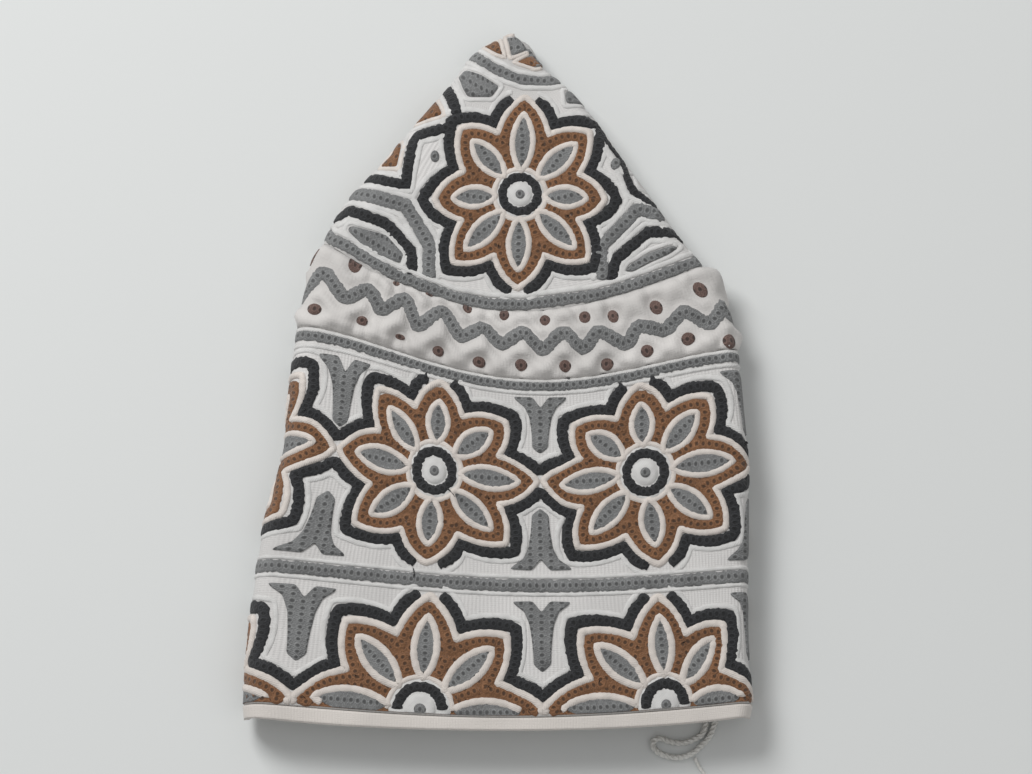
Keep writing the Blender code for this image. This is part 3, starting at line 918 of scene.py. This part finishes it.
def embroider(part, colours, slot, *draws):
    # Lays all the thread of one part, and gives back its pieces, one for each colour
    threads = {colour: newBatch() for colour in colours}
    for draw in draws:
        draw(threads)
    pieces = []
    for colour, batch in threads.items():
        pieces.append(finishBatch(part + "_" + colour + "_thread", batch, finishes[colour]))
    print(part, "embroidered")
    return pieces


# Hand work that doesn't repeat is placed by where it is seen on the photograph, in pixels, and found
# on the front layer of the cloth there
photo = {"originX": 497.0, "originY": 378.0, "perX": 0.28, "perY": 0.2856}


def fromPhoto(points, sheet):
    points = np.asarray(points, float)
    target = np.stack([(points[:, 0] - photo["originX"]) * photo["perX"],
                       (photo["originY"] - points[:, 1]) * photo["perY"]], axis=1)
    onCrown = sheet["pitches"] == crownPattern["pitches"]
    low = crownPattern["leftMost"] if onCrown else min(wallPattern["leftMost"])
    high = crownPattern["rightMost"] if onCrown else wallPattern["rightMost"]
    every = sheet["first"] + sheet["pitches"] * np.arange(sheet["place"].shape[1]) / sheet["place"].shape[1]
    front = np.flatnonzero((every > low) & (every < high))
    flat = sheet["place"][:, front, :2]
    far = np.linalg.norm(flat[None] - target[:, None, None], axis=3).reshape(len(target), -1)
    row, column = np.unravel_index(far.argmin(axis=1), flat.shape[:2])
    s, down = every[front][column], sheet["downs"][row]
    for _ in range(8):
        place = onSheet(sheet, s, down)[0][:, :2]
        perS, perDown = (v[:, :2] for v in slopes(sheet, s, down))
        moveS, moveDown = stepAside(perS, perDown, target - place)
        s = np.clip(s + moveS.clip(-0.05, 0.05), low, high)
        down = np.clip(down + moveDown.clip(-3, 3), sheet["downs"][0], sheet["downs"][-1])
    return np.array([s, down])


# Motifs are drawn flat in millimetres, x to the right and y towards the peak, about their own middle
def bowed(points, bulge, closed=True, pieces=10):
    # Sides that swell outwards by the given amount, for a shape that runs anticlockwise
    points = np.asarray(points, float)
    following = np.roll(points, -1, axis=0) if closed else points[1:]
    route = []
    for start, stop in zip(points, following):
        ahead = stop - start
        out = np.array([ahead[1], -ahead[0]]) / max(np.hypot(*ahead), 1e-9)
        t = np.arange(pieces)[:, None] / pieces
        route.append(start + ahead * t + out * bulge * 4 * t * (1 - t))
    if not closed:
        route.append(points[-1:])
    return np.concatenate(route)


def inset(points, amount, closed=True, blunt=0.6):
    # Moves every side of a shape inwards by the same amount, for a shape that runs anticlockwise. The
    # larger blunt is, the less a sharp corner reaches past its sides
    points = np.asarray(points, float)
    if closed:
        before, after = points - np.roll(points, 1, axis=0), np.roll(points, -1, axis=0) - points
    else:
        gaps = np.diff(points, axis=0)
        before, after = np.concatenate([gaps[:1], gaps]), np.concatenate([gaps, gaps[-1:]])
    sides = []
    for ahead in (before, after):
        ahead = ahead / np.maximum(np.linalg.norm(ahead, axis=1, keepdims=True), 1e-9)
        sides.append(np.stack([-ahead[:, 1], ahead[:, 0]], axis=1))
    side = (sides[0] + sides[1]) / 2
    side = side / np.maximum((side * side).sum(axis=1, keepdims=True), blunt)
    return points + side * amount


def ring(radius, pieces=28):
    angle = tau * np.arange(pieces) / pieces
    return np.stack([radius * np.cos(angle), radius * np.sin(angle)], axis=1)


# A star of eight petals, each with a leaf in it, round a ring
rosettes = {
    "wall": {
        "tipX": (27.9, 18.8, 0.4, -18.4, -27.9, -20.0, -0.3, 19.6),
        "tipY": (0.4, 15.9, 22.6, 16.0, 0.4, -16.8, -24.4, -16.8),
        "leafFrom": 8.6, "leafShort": 5.9, "ringPath": 5.2, "ringWide": 2.9, "dot": 1.75, "halo": 7.7,
        "leafWide": 3.7, "leafCut": 0.0, "cordWide": 2.15, "darkWide": 3.3,
    },
    "hem": {
        "tipX": (34.1, 23.0, 0.0, -23.0, -34.1, -24.0, 0.0, 24.0),
        "tipY": (0.8, 21.6, 30.6, 21.6, 0.8, -19.0, -29.0, -19.0),
        "leafFrom": 10.2, "leafShort": 6.2, "ringPath": 6.4, "ringWide": 3.2, "dot": 2.1, "halo": 9.2,
        "leafWide": 4.0, "leafCut": 0.9, "cordWide": 2.6, "darkWide": 3.6,
    },
    "crown": {
        "tipX": (22.8, 18.7, 1.3, -16.1, -23.0, -18.2, -0.7, 18.2),
        "tipY": (-1.3, 17.2, 27.3, 18.4, -1.3, -18.7, -25.8, -18.2),
        "leafFrom": 8.1, "leafShort": 5.7, "ringPath": 5.0, "ringWide": 2.7, "dot": 1.7, "halo": 7.3,
        "leafWide": 3.5, "leafCut": 0.0, "cordWide": 2.15, "darkWide": 3.3,
    },
}
stitch = {
    "brownWide": 3.5, "whiteWide": 1.8,
    "brownLift": 0.45, "darkLift": 0.5, "greyLift": 0.42, "cordLift": 0.75, "whiteLift": 0.3,
    "valley": 0.665, "bulge": 1.3,
    "overlap": 0.2,            # mm by which one thread area runs under the next
    "whiteOverlap": 0.3,
    "groundInset": 0.2, "groundLift": 0.3, "haloLift": 0.36, "haloCordWide": 2.0, "haloCordLift": 0.6,
    "ringLift": 0.72, "coreLift": 0.6, "dotLift": 0.78,
    "spokeWide": 2.4, "spokePast": 0.9,        # brown spokes between the leaves, at the halo
    "leafBefore": 1.4, "leafPast": 1.7, "leafRound": 0.72,
    "cordOverlap": 0.4,        # mm by which the cords along both sides of a mark lie on it
}


def starPoints(rosette, valley):
    tips = np.stack([rosette["tipX"], rosette["tipY"]], axis=1)
    points = []
    for tip, following in zip(tips, np.roll(tips, -1, axis=0)):
        toward = tip / np.hypot(*tip) + following / np.hypot(*following)
        reach = valley * (np.hypot(*tip) + np.hypot(*following)) / 2
        points += [tip, toward / np.hypot(*toward) * reach]
    return np.array(points)


def drawRosette(threads, sheet, rosette, put, lowest=999.0, shown=None):
    # put turns flat places into pattern places
    star = starPoints(rosette, stitch["valley"])
    wide, cord = stitch["brownWide"], rosette["cordWide"]
    lay = {"sheet": sheet, "lowest": lowest, "shown": shown}
    middle = put(np.zeros((1, 2)))[:, 0]
    layPatch(threads["brown"], edge=put(bowed(inset(star, stitch["groundInset"]), stitch["bulge"])),
             centre=middle, lift=stitch["groundLift"], **lay)
    layBand(threads["brown"], route=put(bowed(inset(star, wide / 2), stitch["bulge"])), width=wide,
            lift=stitch["brownLift"], closed=True, **lay)
    layBand(threads["cord"], route=put(bowed(inset(star, -cord / 2), stitch["bulge"])),
            width=cord, lift=stitch["cordLift"], profile="cord", closed=True, **lay)
    for tip, valley in zip(star[0::2], star[1::2]):
        reach = np.hypot(*valley)
        route = valley * np.linspace(reach - wide, rosette["halo"] + stitch["spokePast"], 8)[:, None] / reach
        layBand(threads["brown"], route=put(route), width=np.linspace(wide, stitch["spokeWide"], 8),
                lift=stitch["brownLift"], **lay)
    for tip in star[0::2]:
        reach = np.hypot(*tip)
        ahead = tip / reach
        side = np.array([-ahead[1], ahead[0]])
        stalk = rosette["leafFrom"] - stitch["leafBefore"]
        point = reach - rosette["leafShort"] + stitch["leafPast"]
        t = np.linspace(0, 1, 15)[:, None]
        outer = (rosette["leafWide"] + cord) / 2 * np.sin(math.pi * t) ** stitch["leafRound"]
        spine = ahead * (stalk + (point - stalk) * t)
        loop = np.concatenate([spine + side * outer, (spine - side * outer)[-2:0:-1]])
        layPatch(threads["grey"], edge=put(loop), centre=put(spine[7:8])[:, 0], lift=stitch["greyLift"],
                 turn=math.atan2(ahead[1], ahead[0]), **lay)
        layBand(threads["cord"], route=put(loop), width=cord, lift=stitch["cordLift"], profile="cord",
                closed=True, **{**lay, "lowest": lowest - rosette["leafCut"]})
    halo = put(ring(rosette["halo"]))
    layPatch(threads["white"], edge=halo, centre=middle, lift=stitch["haloLift"], **lay)
    layBand(threads["cord"], route=halo, width=stitch["haloCordWide"], lift=stitch["haloCordLift"],
            profile="cord", closed=True, **lay)
    layBand(threads["dark"], route=put(ring(rosette["ringPath"])), width=rosette["ringWide"],
            lift=stitch["ringLift"], closed=True, **lay)
    core = rosette["ringPath"] - rosette["ringWide"] / 2
    layPatch(threads["white"], edge=put(ring(core, 20)), centre=middle, lift=stitch["coreLift"], **lay)
    layPatch(threads["grey"], edge=put(ring(rosette["dot"], 16)), centre=middle, lift=stitch["dotLift"],
             **lay)


def besideStar(rosette, away, corners, reach):
    # A line that keeps its distance from a star's edge past the listed corners. The first and last
    # stretches, along a petal, may stop short of its tip
    line = inset(starPoints(rosette, stitch["valley"]), -away, blunt=0.5)[list(corners)]
    line[0] = line[1] + (line[0] - line[1]) * reach[0]
    line[-1] = line[-2] + (line[-1] - line[-2]) * reach[1]
    way = 1 if (corners[1] - corners[0]) % 16 == 1 else -1
    return bowed(line, stitch["bulge"] * way, closed=False)


# The two rows of rosettes round the wall, and what runs between them. Lengths are in millimetres,
# and rosettes are numbered from the middle of the front
wallRows = {
    "wall": {
        "middle": 129.0, "pitch": 59.0, "lowest": 999.0,
        "turns": (3.0, -0.6),              # degrees that even and odd rosettes lean
        "drops": {-1: -1.4, 0: 1.2, 1: 0.7},   # how far the places where they meet lie below the row
        "outlines": ((4, 3, 2, 1, 0), (12, 13, 14, 15, 0)), "reach": 0.66,
    },
    "hem": {
        "middle": 195.3, "pitch": 70.6, "lowest": 196.3,
        "turns": (-0.3, -2.3), "drops": {},
        "outlines": ((4, 3, 2, 1, 0),), "reach": 0.72,
    },
}
wallMarks = {
    "forkX": (0.0, 2.4, 8.0, 7.2, 4.7, 3.2, 2.6, 2.3, 2.3),
    "forkY": (0.0, 3.3, 3.1, 2.1, 0.2, -2.8, -6.5, -9.5, -11.2),
    "forkEnd": -12.9, "forkMiddle": 1.2,
    "forks": (
        {"notch": 108.9, "way": 1, "wide": 1.0, "long": 1.05, "pitch": 59.0},
        {"notch": 151.8, "way": -1, "wide": 1.04, "long": 1.14, "pitch": 59.0},
        {"notch": 167.0, "way": 1, "wide": 1.14, "long": 1.36, "pitch": 70.6},
    ),
    "stripes": ({"down": 102.5, "wide": 2.9}, {"down": 159.4, "wide": 3.7}),
    # Cut ends of black thread, by where they are seen: from and to, in pixels
    "strays": (((413, 567), (413.5, 579)), ((566, 368), (570, 376)), ((445, 487), (456, 499)),
               ((741, 441), (746, 444))),
    "strayWide": 0.35, "strayLift": 0.95, "strayBow": 1.2,
    # White cords along the stripes, which stay clear of the strip's seam
    "besideWide": 1.3, "besideLift": 0.4, "besideClear": 0.7,
}


def onWall(index, row):
    # Each rosette leans a little, but still meets its neighbours half way
    pitch, lean = row["pitch"], math.radians(row["turns"][index % 2])
    drops = [row["drops"].get(place, 0.0) for place in (index, index + 1)]

    def put(points):
        x, y = np.asarray(points, float).T
        reach = np.abs(x) / pitch
        turn = lean * (1 - smoothStep(0.38, 0.48, reach))
        drop = np.where(x < 0, *drops) * smoothStep(0.12, 0.45, reach)
        return np.array([index + 0.5 + (x * np.cos(turn) - y * np.sin(turn)) / pitch,
                         row["middle"] + drop - (x * np.sin(turn) + y * np.cos(turn))])
    return put


def drawOutline(threads, index, row, rosette, corners):
    # A dark outline from the petals of one rosette across to the next one's, and the cord beyond it
    cord, dark, white = rosette["cordWide"], rosette["darkWide"], stitch["whiteWide"]
    for colour, away, wide, lift, profile in (
            ("dark", cord + dark / 2 - stitch["overlap"], dark, stitch["darkLift"], "band"),
            ("white", cord + dark + white / 2 - stitch["whiteOverlap"], white, stitch["whiteLift"], "cord")):
        half = besideStar(rosette, away, corners, (row["reach"], 1.0))
        half = half[half[:, 0] < row["pitch"] / 2]
        route = [onWall(index - 1, row)(half), onWall(index, row)(half * (-1, 1))[:, ::-1]]
        layBand(threads[colour], wallSheet, np.concatenate(route, axis=1), wide, lift, profile,
                lowest=row["lowest"])


def drawFork(threads, place, fork):
    right = np.stack([wallMarks["forkX"], wallMarks["forkY"]], axis=1)
    edge = np.concatenate([right, [(0.0, wallMarks["forkEnd"])], right[:0:-1] * (-1, 1)])
    edge = edge * (fork["wide"], 1) * np.where(edge[:, 1:] < 0, (1, fork["long"]), (1, 1))
    edge = bowed(edge * (1, fork["way"]), 0.0, pieces=4)
    route = np.array([place + edge[:, 0] / fork["pitch"], fork["notch"] - edge[:, 1]])
    middle = (place, fork["notch"] + wallMarks["forkMiddle"] * fork["way"])
    layPatch(threads["grey"], wallSheet, route, middle, stitch["greyLift"], turn=math.pi / 2)


def drawWall(threads):
    for index in range(-4, 2):
        for name, row in wallRows.items():
            drawRosette(threads, wallSheet, rosettes[name], onWall(index, row), row["lowest"])
            for corners in row["outlines"]:
                drawOutline(threads, index, row, rosettes[name], corners)
        for fork in wallMarks["forks"]:
            drawFork(threads, index, fork)
    s = np.linspace(laid["wallShown"][0] + 0.01, laid["wallShown"][1] - 0.01, 400)
    for stripe in wallMarks["stripes"]:
        route = (s, np.full_like(s, stripe["down"]))
        layBand(threads["grey"], wallSheet, route, stripe["wide"], stitch["greyLift"])
        wide, lift = wallMarks["besideWide"], wallMarks["besideLift"]
        for side in (-1, 1):
            shift = side * (stripe["wide"] + wide) / 2
            down = np.maximum(stripe["down"] + shift, cap["wallDown"] + wallMarks["besideClear"])
            layBand(threads["white"], wallSheet, (s, np.full_like(s, down)), wide, lift, "cord")


def drawStrays(threads):
    for ends in wallMarks["strays"]:
        middle = (np.array(ends[0]) + ends[1]) / 2 + (wallMarks["strayBow"], 0)
        route = fromPhoto([ends[0], middle, ends[1]], wallSheet)
        layBand(threads["dark"], wallSheet, route, wallMarks["strayWide"], wallMarks["strayLift"], "cord")


clothColours = ("brown", "dark", "grey", "cord", "white")
wallNames = embroider("wall", clothColours, "embroidered_cotton", drawWall, drawStrays)


# The crown: its front is drawn as seen, in pixels of the photograph, and the layer behind repeats
# the front's own fifth
crownMarks = {
    "centreX": 520.0, "centreY": 195.5,
    "outlines": ((4, 3, 2, 1, 0, 15, 14, 13, 12), (4, 5, 6, 7, 8, 9, 10, 11, 12)),
    "outlineReach": (0.66, 0.8),
    "stubX": (446, 453, 457), "stubY": (83, 101, 116), "stubWide": 3.2,
    "nextLeftX": (452, 416, 412, 407, 406, 386, 366), "nextLeftY": (127, 136, 147, 170, 186, 182, 177),
    "nextLeftWide": 3.0, "nextRightWide": 2.2,
    "nextRightX": (596, 603, 621, 632, 656), "nextRightY": (118, 138, 162, 192, 208),
    "greyLeftX": (350, 378, 406, 415, 430, 428), "greyLeftY": (192, 199, 207, 222, 247, 281),
    "greyRightX": (669, 638, 617, 601, 603), "greyRightY": (216, 210, 232, 248, 282),
    "greyLeftWide": 4.1, "greyRightWide": 3.8,
    "archLeftX": (333, 350, 387, 411, 412.5), "archLeftY": (219, 211, 225, 252, 277),
    "archRightX": (684, 676, 648, 615, 611), "archRightY": (243, 234, 233, 261, 283),
    "leafLeftX": (348, 351, 387, 405, 401, 379, 360, 347),
    "leafLeftY": (228, 226, 236, 256, 265, 257, 245, 231),
    "leafRightX": (624, 628, 649, 669, 676, 679, 669, 649, 632),
    "leafRightY": (273, 267, 254, 247, 246, 249, 255, 264, 273),
    "wedgeLeftX": (459, 466, 481, 500, 492, 467, 462), "wedgeLeftY": (75, 67, 73, 86, 97, 97, 87),
    "wedgeRightX": (564, 580, 591, 566), "wedgeRightY": (91, 90, 105, 104),
    "tipUpperX": (436, 443, 416, 427), "tipUpperY": (96, 115, 123, 106),
    "tipLowerX": (381, 392, 401, 402, 397), "tipLowerY": (167, 156, 139, 145, 168),
    "innerX": (470, 480, 495, 519, 545, 571), "innerY": (49, 57, 68, 79, 81, 77),
    "dotLeftX": 434.5, "dotLeftY": 157.0, "dotRightX": 615.0, "dotRightY": 165.0,
    "dotWide": 5.0, "dotTall": 7.1, "dotLift": 0.5,
    "beside": 2.6,             # pixels from a filled shape to the cord round it
    "innerRing": 15.5, "innerSway": 0.3, "innerWide": 3.1,
    "outerRing": 78.6, "outerWide": 3.4, "outerLast": 79.6,
    "outerX": (330, 360, 393, 423, 457, 490, 523, 552, 593, 627, 660, 700),
    "outerY": (238, 255, 275, 287, 299, 305, 306, 302, 297, 290, 278, 263),
}
centreMarks = {
    "brownLeftX": (485, 492, 499, 504, 495), "brownLeftY": (43, 38, 38, 55, 50),
    "greyX": (508, 523, 528, 518, 511), "greyY": (35, 33, 47, 52, 55),
    "brownRightX": (515, 531, 549, 535), "brownRightY": (61, 53, 64, 66),
    "slimX": (531, 539, 548), "slimY": (42, 51, 62), "slimWide": 1.8,
    "lift": 0.4,
}


def marked(marks, name):
    return np.stack([marks[name + "X"], marks[name + "Y"]], axis=1).astype(float)


# The front shows a little way past its left crease and stops just short of the right one. Beyond are
# copies of its own fifth, with the pattern places between which each shows
crownPast = 0.02
crownFront = (crownPattern["leftMost"] - crownPast, crownPattern["rightMost"] - 0.003)
ownFifth = 0.503               # to either side of its middle, a hair over half
crownCopies = (
    (1, (crownPattern["rightMost"] + crownPast, laid["crownShown"][1])),
    (-1, (laid["crownShown"][0], crownPattern["leftMost"] - crownPast)),
    (-2, (laid["crownShown"][0], crownPattern["leftMost"] - crownPast)),
)


def layCrown(threads, colour, route, width, lift, profile="band"):
    # On the front as marked, and beyond its creases as copies
    lay = {"width": width, "lift": lift, "profile": profile}
    layBand(threads[colour], crownSheet, route, shown=crownFront, **lay)
    own = np.abs(route[0]) < ownFifth
    for copy, shown in crownCopies:
        layBand(threads[colour], crownSheet, route[:, own] + [[copy], [0]], shown=shown, **lay)


def layMark(threads, colour, name, width, lift, profile="band", beside=0.0):
    line = marked(crownMarks, name)
    if beside:
        line = inset(line, beside / photo["perX"], closed=False)
    route = fromPhoto(bowed(line, 0.0, closed=False, pieces=12), crownSheet)
    layCrown(threads, colour, route, width, lift, profile)


def layEdged(threads, colour, name, wide, lift):
    # A mark with a white cord along each side
    white = stitch["whiteWide"]
    layMark(threads, colour, name, wide, lift)
    for side in (-1, 1):
        beside = side * (wide + white - stitch["cordOverlap"]) / 2
        layMark(threads, "white", name, white, stitch["whiteLift"], "cord", beside)


def layFilled(threads, marks, name, colour, lift, cord):
    # A filled shape on the front with a cord round it: its colour, width and lift
    cordColour, cordWide, cordLift = cord
    edge = fromPhoto(bowed(marked(marks, name), 0.0), crownSheet)
    layPatch(threads[colour], crownSheet, edge, edge.mean(axis=1), lift)
    beside = fromPhoto(bowed(inset(marked(marks, name), -crownMarks["beside"]), 0.0), crownSheet)
    layBand(threads[cordColour], crownSheet, beside, cordWide, cordLift, "cord", closed=True,
            shown=crownFront)


def onCrown(points, copy=0):
    # Flat places about the middle of the front rosette
    x, y = np.asarray(points, float).T
    pixels = np.stack([crownMarks["centreX"] + x / photo["perX"],
                       crownMarks["centreY"] - y / photo["perY"]], axis=1)
    return fromPhoto(pixels, crownSheet) + [[copy], [0]]


def drawCrown(threads):
    marks, white, star = crownMarks, stitch["whiteWide"], rosettes["crown"]
    cord, dark = star["cordWide"], star["darkWide"]
    front = (crownFront[0], crownPattern["rightMost"])
    drawRosette(threads, crownSheet, star, onCrown, shown=front)
    for copy, shown in crownCopies:
        drawRosette(threads, crownSheet, star, lambda points, copy=copy: onCrown(points, copy), shown=shown)
    for name in ("stub", "nextLeft", "nextRight"):
        layEdged(threads, "dark", name, marks[name + "Wide"], stitch["darkLift"])
    for corners in marks["outlines"]:
        away = cord + dark / 2 - stitch["overlap"]
        line = besideStar(star, away, corners, marks["outlineReach"])
        layCrown(threads, "dark", onCrown(line), dark, stitch["darkLift"])
        away = away + (dark + white - stitch["overlap"]) / 2
        line = besideStar(star, away, corners, marks["outlineReach"])
        layCrown(threads, "white", onCrown(line), white, stitch["whiteLift"], "cord")
    for name in ("greyLeft", "greyRight"):
        layEdged(threads, "grey", name, marks[name + "Wide"], stitch["greyLift"])
    for name in ("archLeft", "archRight"):
        layEdged(threads, "dark", name, dark, stitch["greyLift"])
    for name in ("wedgeLeft", "wedgeRight", "leafLeft", "leafRight"):
        layFilled(threads, marks, name, "grey", stitch["greyLift"], ("white", 1.5, 0.34))
    for name in ("tipUpper", "tipLower"):
        layFilled(threads, marks, name, "brown", stitch["greyLift"], ("cord", 1.5, 0.34))
    for name in ("dotLeft", "dotRight"):
        middle = (marks[name + "X"], marks[name + "Y"])
        edge = fromPhoto(ring(1.0, 16) * (marks["dotWide"], marks["dotTall"]) + middle, crownSheet)
        layPatch(threads["grey"], crownSheet, edge, edge.mean(axis=1), marks["dotLift"])
    drawRings(threads)
    for name, colour in (("brownLeft", "brown"), ("grey", "grey"), ("brownRight", "brown")):
        layFilled(threads, centreMarks, name, colour, centreMarks["lift"], ("cord", 1.4, 0.5))
    slim = fromPhoto(marked(centreMarks, "slim"), crownSheet)
    layBand(threads["grey"], crownSheet, slim, centreMarks["slimWide"], centreMarks["lift"])


def drawRings(threads):
    # Two grey rings go right round the crown. On the front they follow the photograph
    marks, white = crownMarks, stitch["whiteWide"]
    s = np.linspace(*laid["crownShown"], 300)
    rings = {
        "inner": marks["innerRing"] * (1 + marks["innerSway"] * np.sin(s * tau / crownPattern["pitches"])),
        "outer": np.full_like(s, marks["outerRing"]),
    }
    for name, down in rings.items():
        seenS, seenDown = fromPhoto(bowed(marked(marks, name), 0.0, closed=False), crownSheet)
        near = (s > seenS[0]) & (s < seenS[-1])
        down[near] = np.interp(s[near], seenS, seenDown)
        down = np.minimum(down, marks["outerLast"])
        wide = marks[name + "Wide"]
        layBand(threads["grey"], crownSheet, (s, down), wide, stitch["greyLift"])
        for side in (-1, 1) if name == "inner" else (-1,):
            layBand(threads["white"], crownSheet, (s, down + side * (wide + white) / 2), white, 0.45, "cord")


crownNames = embroider("crown", clothColours, "embroidered_cotton", drawCrown)


# The strip between crown and wall: a grey zigzag with a row of dots above and below it. The front is
# placed as seen, in pixels, and the back repeats it evenly
stripMarks = {
    "zigzags": 44,             # round the whole cap
    "upperPoints": 0.31, "lowerPoints": 0.65,      # shares of the strip's height from the crown seam
    "upperDots": 0.14, "lowerDots": 0.82,
    "wide": 4.1, "dot": 1.95, "lift": 0.3, "dotLift": 0.35,
    "perPitch": 52.0,          # mm of cloth in one pitch of the pattern, on the front
    "zigzagX": (325, 345, 367, 381, 403, 418, 442, 462, 483, 502, 523,
                542, 564, 583, 598, 627, 638, 665, 683, 710, 722, 731),
    "zigzagY": (271, 302, 291, 316, 305, 331, 317, 341, 328, 348, 332,
                353, 332, 352, 332, 347, 327, 333, 312, 327, 303, 313),
    "upperX": (355, 395, 428, 467, 504, 545, 585, 613, 656, 700),
    "upperY": (266, 290, 301, 311, 317, 322, 319, 318, 309, 291),
    "lowerX": (315, 362, 400, 438, 479, 521, 565, 607, 647, 688, 729),
    "lowerY": (310, 322, 338, 352, 363, 366, 367, 365, 352, 340, 342),
    "slimDots": {395: 0.5, 428: 0.4, 400: 0.6},    # shares of the height of dots that a fold narrows
    "puff": 2.5,               # how high the cloth stands between its stitches
    "puffOver": 1.7,           # mm from a stitch to full height
    "gather": 0.6, "gatherEvery": 4.7, "gatherDeep": 3.4,
    "sway": 2.2, "swayOver": 7.3,              # how unevenly the gathers follow each other
    "stitchReach": 0.16,       # pitches to either side within which a stitch holds the cloth down
    "foldX": (372, 462), "foldY": (268, 303),  # pixels between which the cloth rolls up over the crown seam
    "foldUp": 0.9, "foldOver": 1.9,
}


def stripPlan():
    # The zigzag and the dots as pattern places, front and back
    marks, tall = stripMarks, cap["wallDown"] - cap["seamDown"]
    half = wallPattern["pitches"] / marks["zigzags"] / 2
    front = fromPhoto(marked(marks, "zigzag"), stripSheet)
    counts = np.arange(1, int((front[0, 0] - laid["wallShown"][0]) / half) + 2)
    shares = np.where(counts % 2, marks["lowerPoints"], marks["upperPoints"])
    back = np.array([front[0, 0] - counts * half, cap["seamDown"] + shares * tall])
    ahead = np.array([[front[0, -1] + half], [cap["seamDown"] + marks["lowerPoints"] * tall]])
    zigzag = np.concatenate([back[:, ::-1], front, ahead], axis=1)
    dots = []
    for name in ("upper", "lower"):
        own = fromPhoto(marked(marks, name), stripSheet)
        dots += [(s, down, marks["slimDots"].get(x, 1.0)) for s, down, x in zip(*own, marks[name + "X"])]
        down = cap["seamDown"] + marks[name + "Dots"] * tall
        start = front[0, 0] - (half if name == "upper" else 2 * half)
        dots += [(s, down, 1.0) for s in np.arange(start, laid["wallShown"][0], -2 * half)]
    return zigzag, np.array(dots)


def ruffle(sheet, zigzag, dots):
    # The thin cloth stands up between its stitches, is gathered at both seams, and on the left of
    # the front it rolls up over the crown seam
    marks = stripMarks
    tall = cap["wallDown"] - cap["seamDown"]
    rows, columns = sheet["place"].shape[:2]
    s = sheet["first"] + sheet["pitches"] * np.arange(columns) / columns
    x, y = np.meshgrid(s * marks["perPitch"], sheet["downs"])
    far = np.full(x.shape, 99.0)
    line = np.array(spaced(sheet, *zigzag, False, 0.8))
    for points, clear in ((line.T, marks["wide"] / 2), (dots[:, :2], marks["dot"])):
        for pointS, pointDown in points:
            near = np.abs(s - pointS) < marks["stitchReach"]
            away = np.hypot(x[:, near] - pointS * marks["perPitch"], y[:, near] - pointDown) - clear
            far[:, near] = np.minimum(far[:, near], away)
    seam = np.minimum(y - cap["seamDown"], cap["wallDown"] - y).clip(0)
    puff = marks["puff"] * (1 - np.exp(-(far.clip(0) / marks["puffOver"]) ** 2)) * smoothStep(0, 3.0, seam)
    wave = np.sin(tau * x / marks["gatherEvery"] + marks["sway"] * np.sin(x / marks["swayOver"]))
    gather = marks["gather"] * (1 + wave) * np.exp(-seam / marks["gatherDeep"]) * smoothStep(0, 1.0, seam)
    rise = (puff + gather) * pressed(sheet, s) ** 2
    low, high = fromPhoto(marked(marks, "fold"), stripSheet)[0]
    share = ((y - cap["seamDown"]) / tall / 0.6).clip(0, 1)
    roll = np.sin(math.pi * share ** 0.7) * np.exp(-((s - (low + high) / 2) / (high - low) * 2) ** 4)
    downhill = np.gradient(sheet["place"], axis=0)
    downhill = downhill / np.maximum(np.linalg.norm(downhill, axis=2, keepdims=True), 1e-9)
    sheet["place"] = (sheet["place"] + sheet["normal"] * (rise + roll * marks["foldUp"])[..., None]
                      - downhill * (roll * marks["foldOver"])[..., None])
    sheet["normal"] = sheetNormals(sheet["place"])


def drawStrip(threads):
    marks = stripMarks
    route = spaced(stripSheet, *stripLine, False, 0.6, ease=7)
    layBand(threads["grey"], stripSheet, route, marks["wide"], marks["lift"])
    for s, down, tall in stripDots:
        edge = ring(marks["dot"], 16) * (1 / marks["perPitch"], tall) + (s, down)
        layPatch(threads["dots"], stripSheet, edge.T, (s, down), marks["dotLift"])


stripLine, stripDots = stripPlan()
ruffle(stripSheet, stripLine, stripDots)
stripPiece = addShell("gathered_strip_cloth", "gathered_strip", stripSheet, finishes["soft"],
                      ground["outward"] + ground["stripOver"], ground["thickness"])
stripNames = embroider("strip", ("dots", "grey"), "gathered_cotton", drawStrip)


# Floor and light
studio = {
    "floor": "#D9DBDA",
    "floorSize": 6.0,
    "floorBelow": 0.0002,
    "keyPower": 14.0,
    "keySize": 0.6,
    "keyPlace": (-0.6, 0.75, 1.0),
    "fillPower": 1.6,
    "fillSize": 1.2,
    "fillPlace": (0.8, -0.5, 1.2),
    "sky": 0.4,
}


def addFloor():
    bpy.ops.mesh.primitive_plane_add(size=studio["floorSize"], location=(0, 0, -studio["floorBelow"]))
    floor = bpy.context.object
    floor.name = "floor"
    material, shader = startMaterial("brushed_cotton_sheet", 0.95, 0.1)
    shader.inputs["Base Color"].default_value = hexColour(studio["floor"])
    floor.data.materials.append(material)


def addLight(name, power, size, place, target=(0, 0, 0.01)):
    data = bpy.data.lights.new(name, "AREA")
    data.energy = power
    data.size = size
    light = bpy.data.objects.new(name, data)
    bpy.context.scene.collection.objects.link(light)
    light.location = place
    light.rotation_euler = (Vector(target) - Vector(place)).to_track_quat("-Z", "Y").to_euler()
    return light


def addStudio():
    addFloor()
    for name in ("key", "fill"):
        addLight(name, studio[name + "Power"], studio[name + "Size"], studio[name + "Place"])
    world = bpy.data.worlds.new("studio")
    world.use_nodes = True
    world.node_tree.nodes["Background"].inputs[0].default_value = (1.0, 1.0, 1.0, 1.0)
    world.node_tree.nodes["Background"].inputs[1].default_value = studio["sky"]
    bpy.context.scene.world = world
    bpy.context.scene.view_settings.view_transform = "Standard"


addStudio()
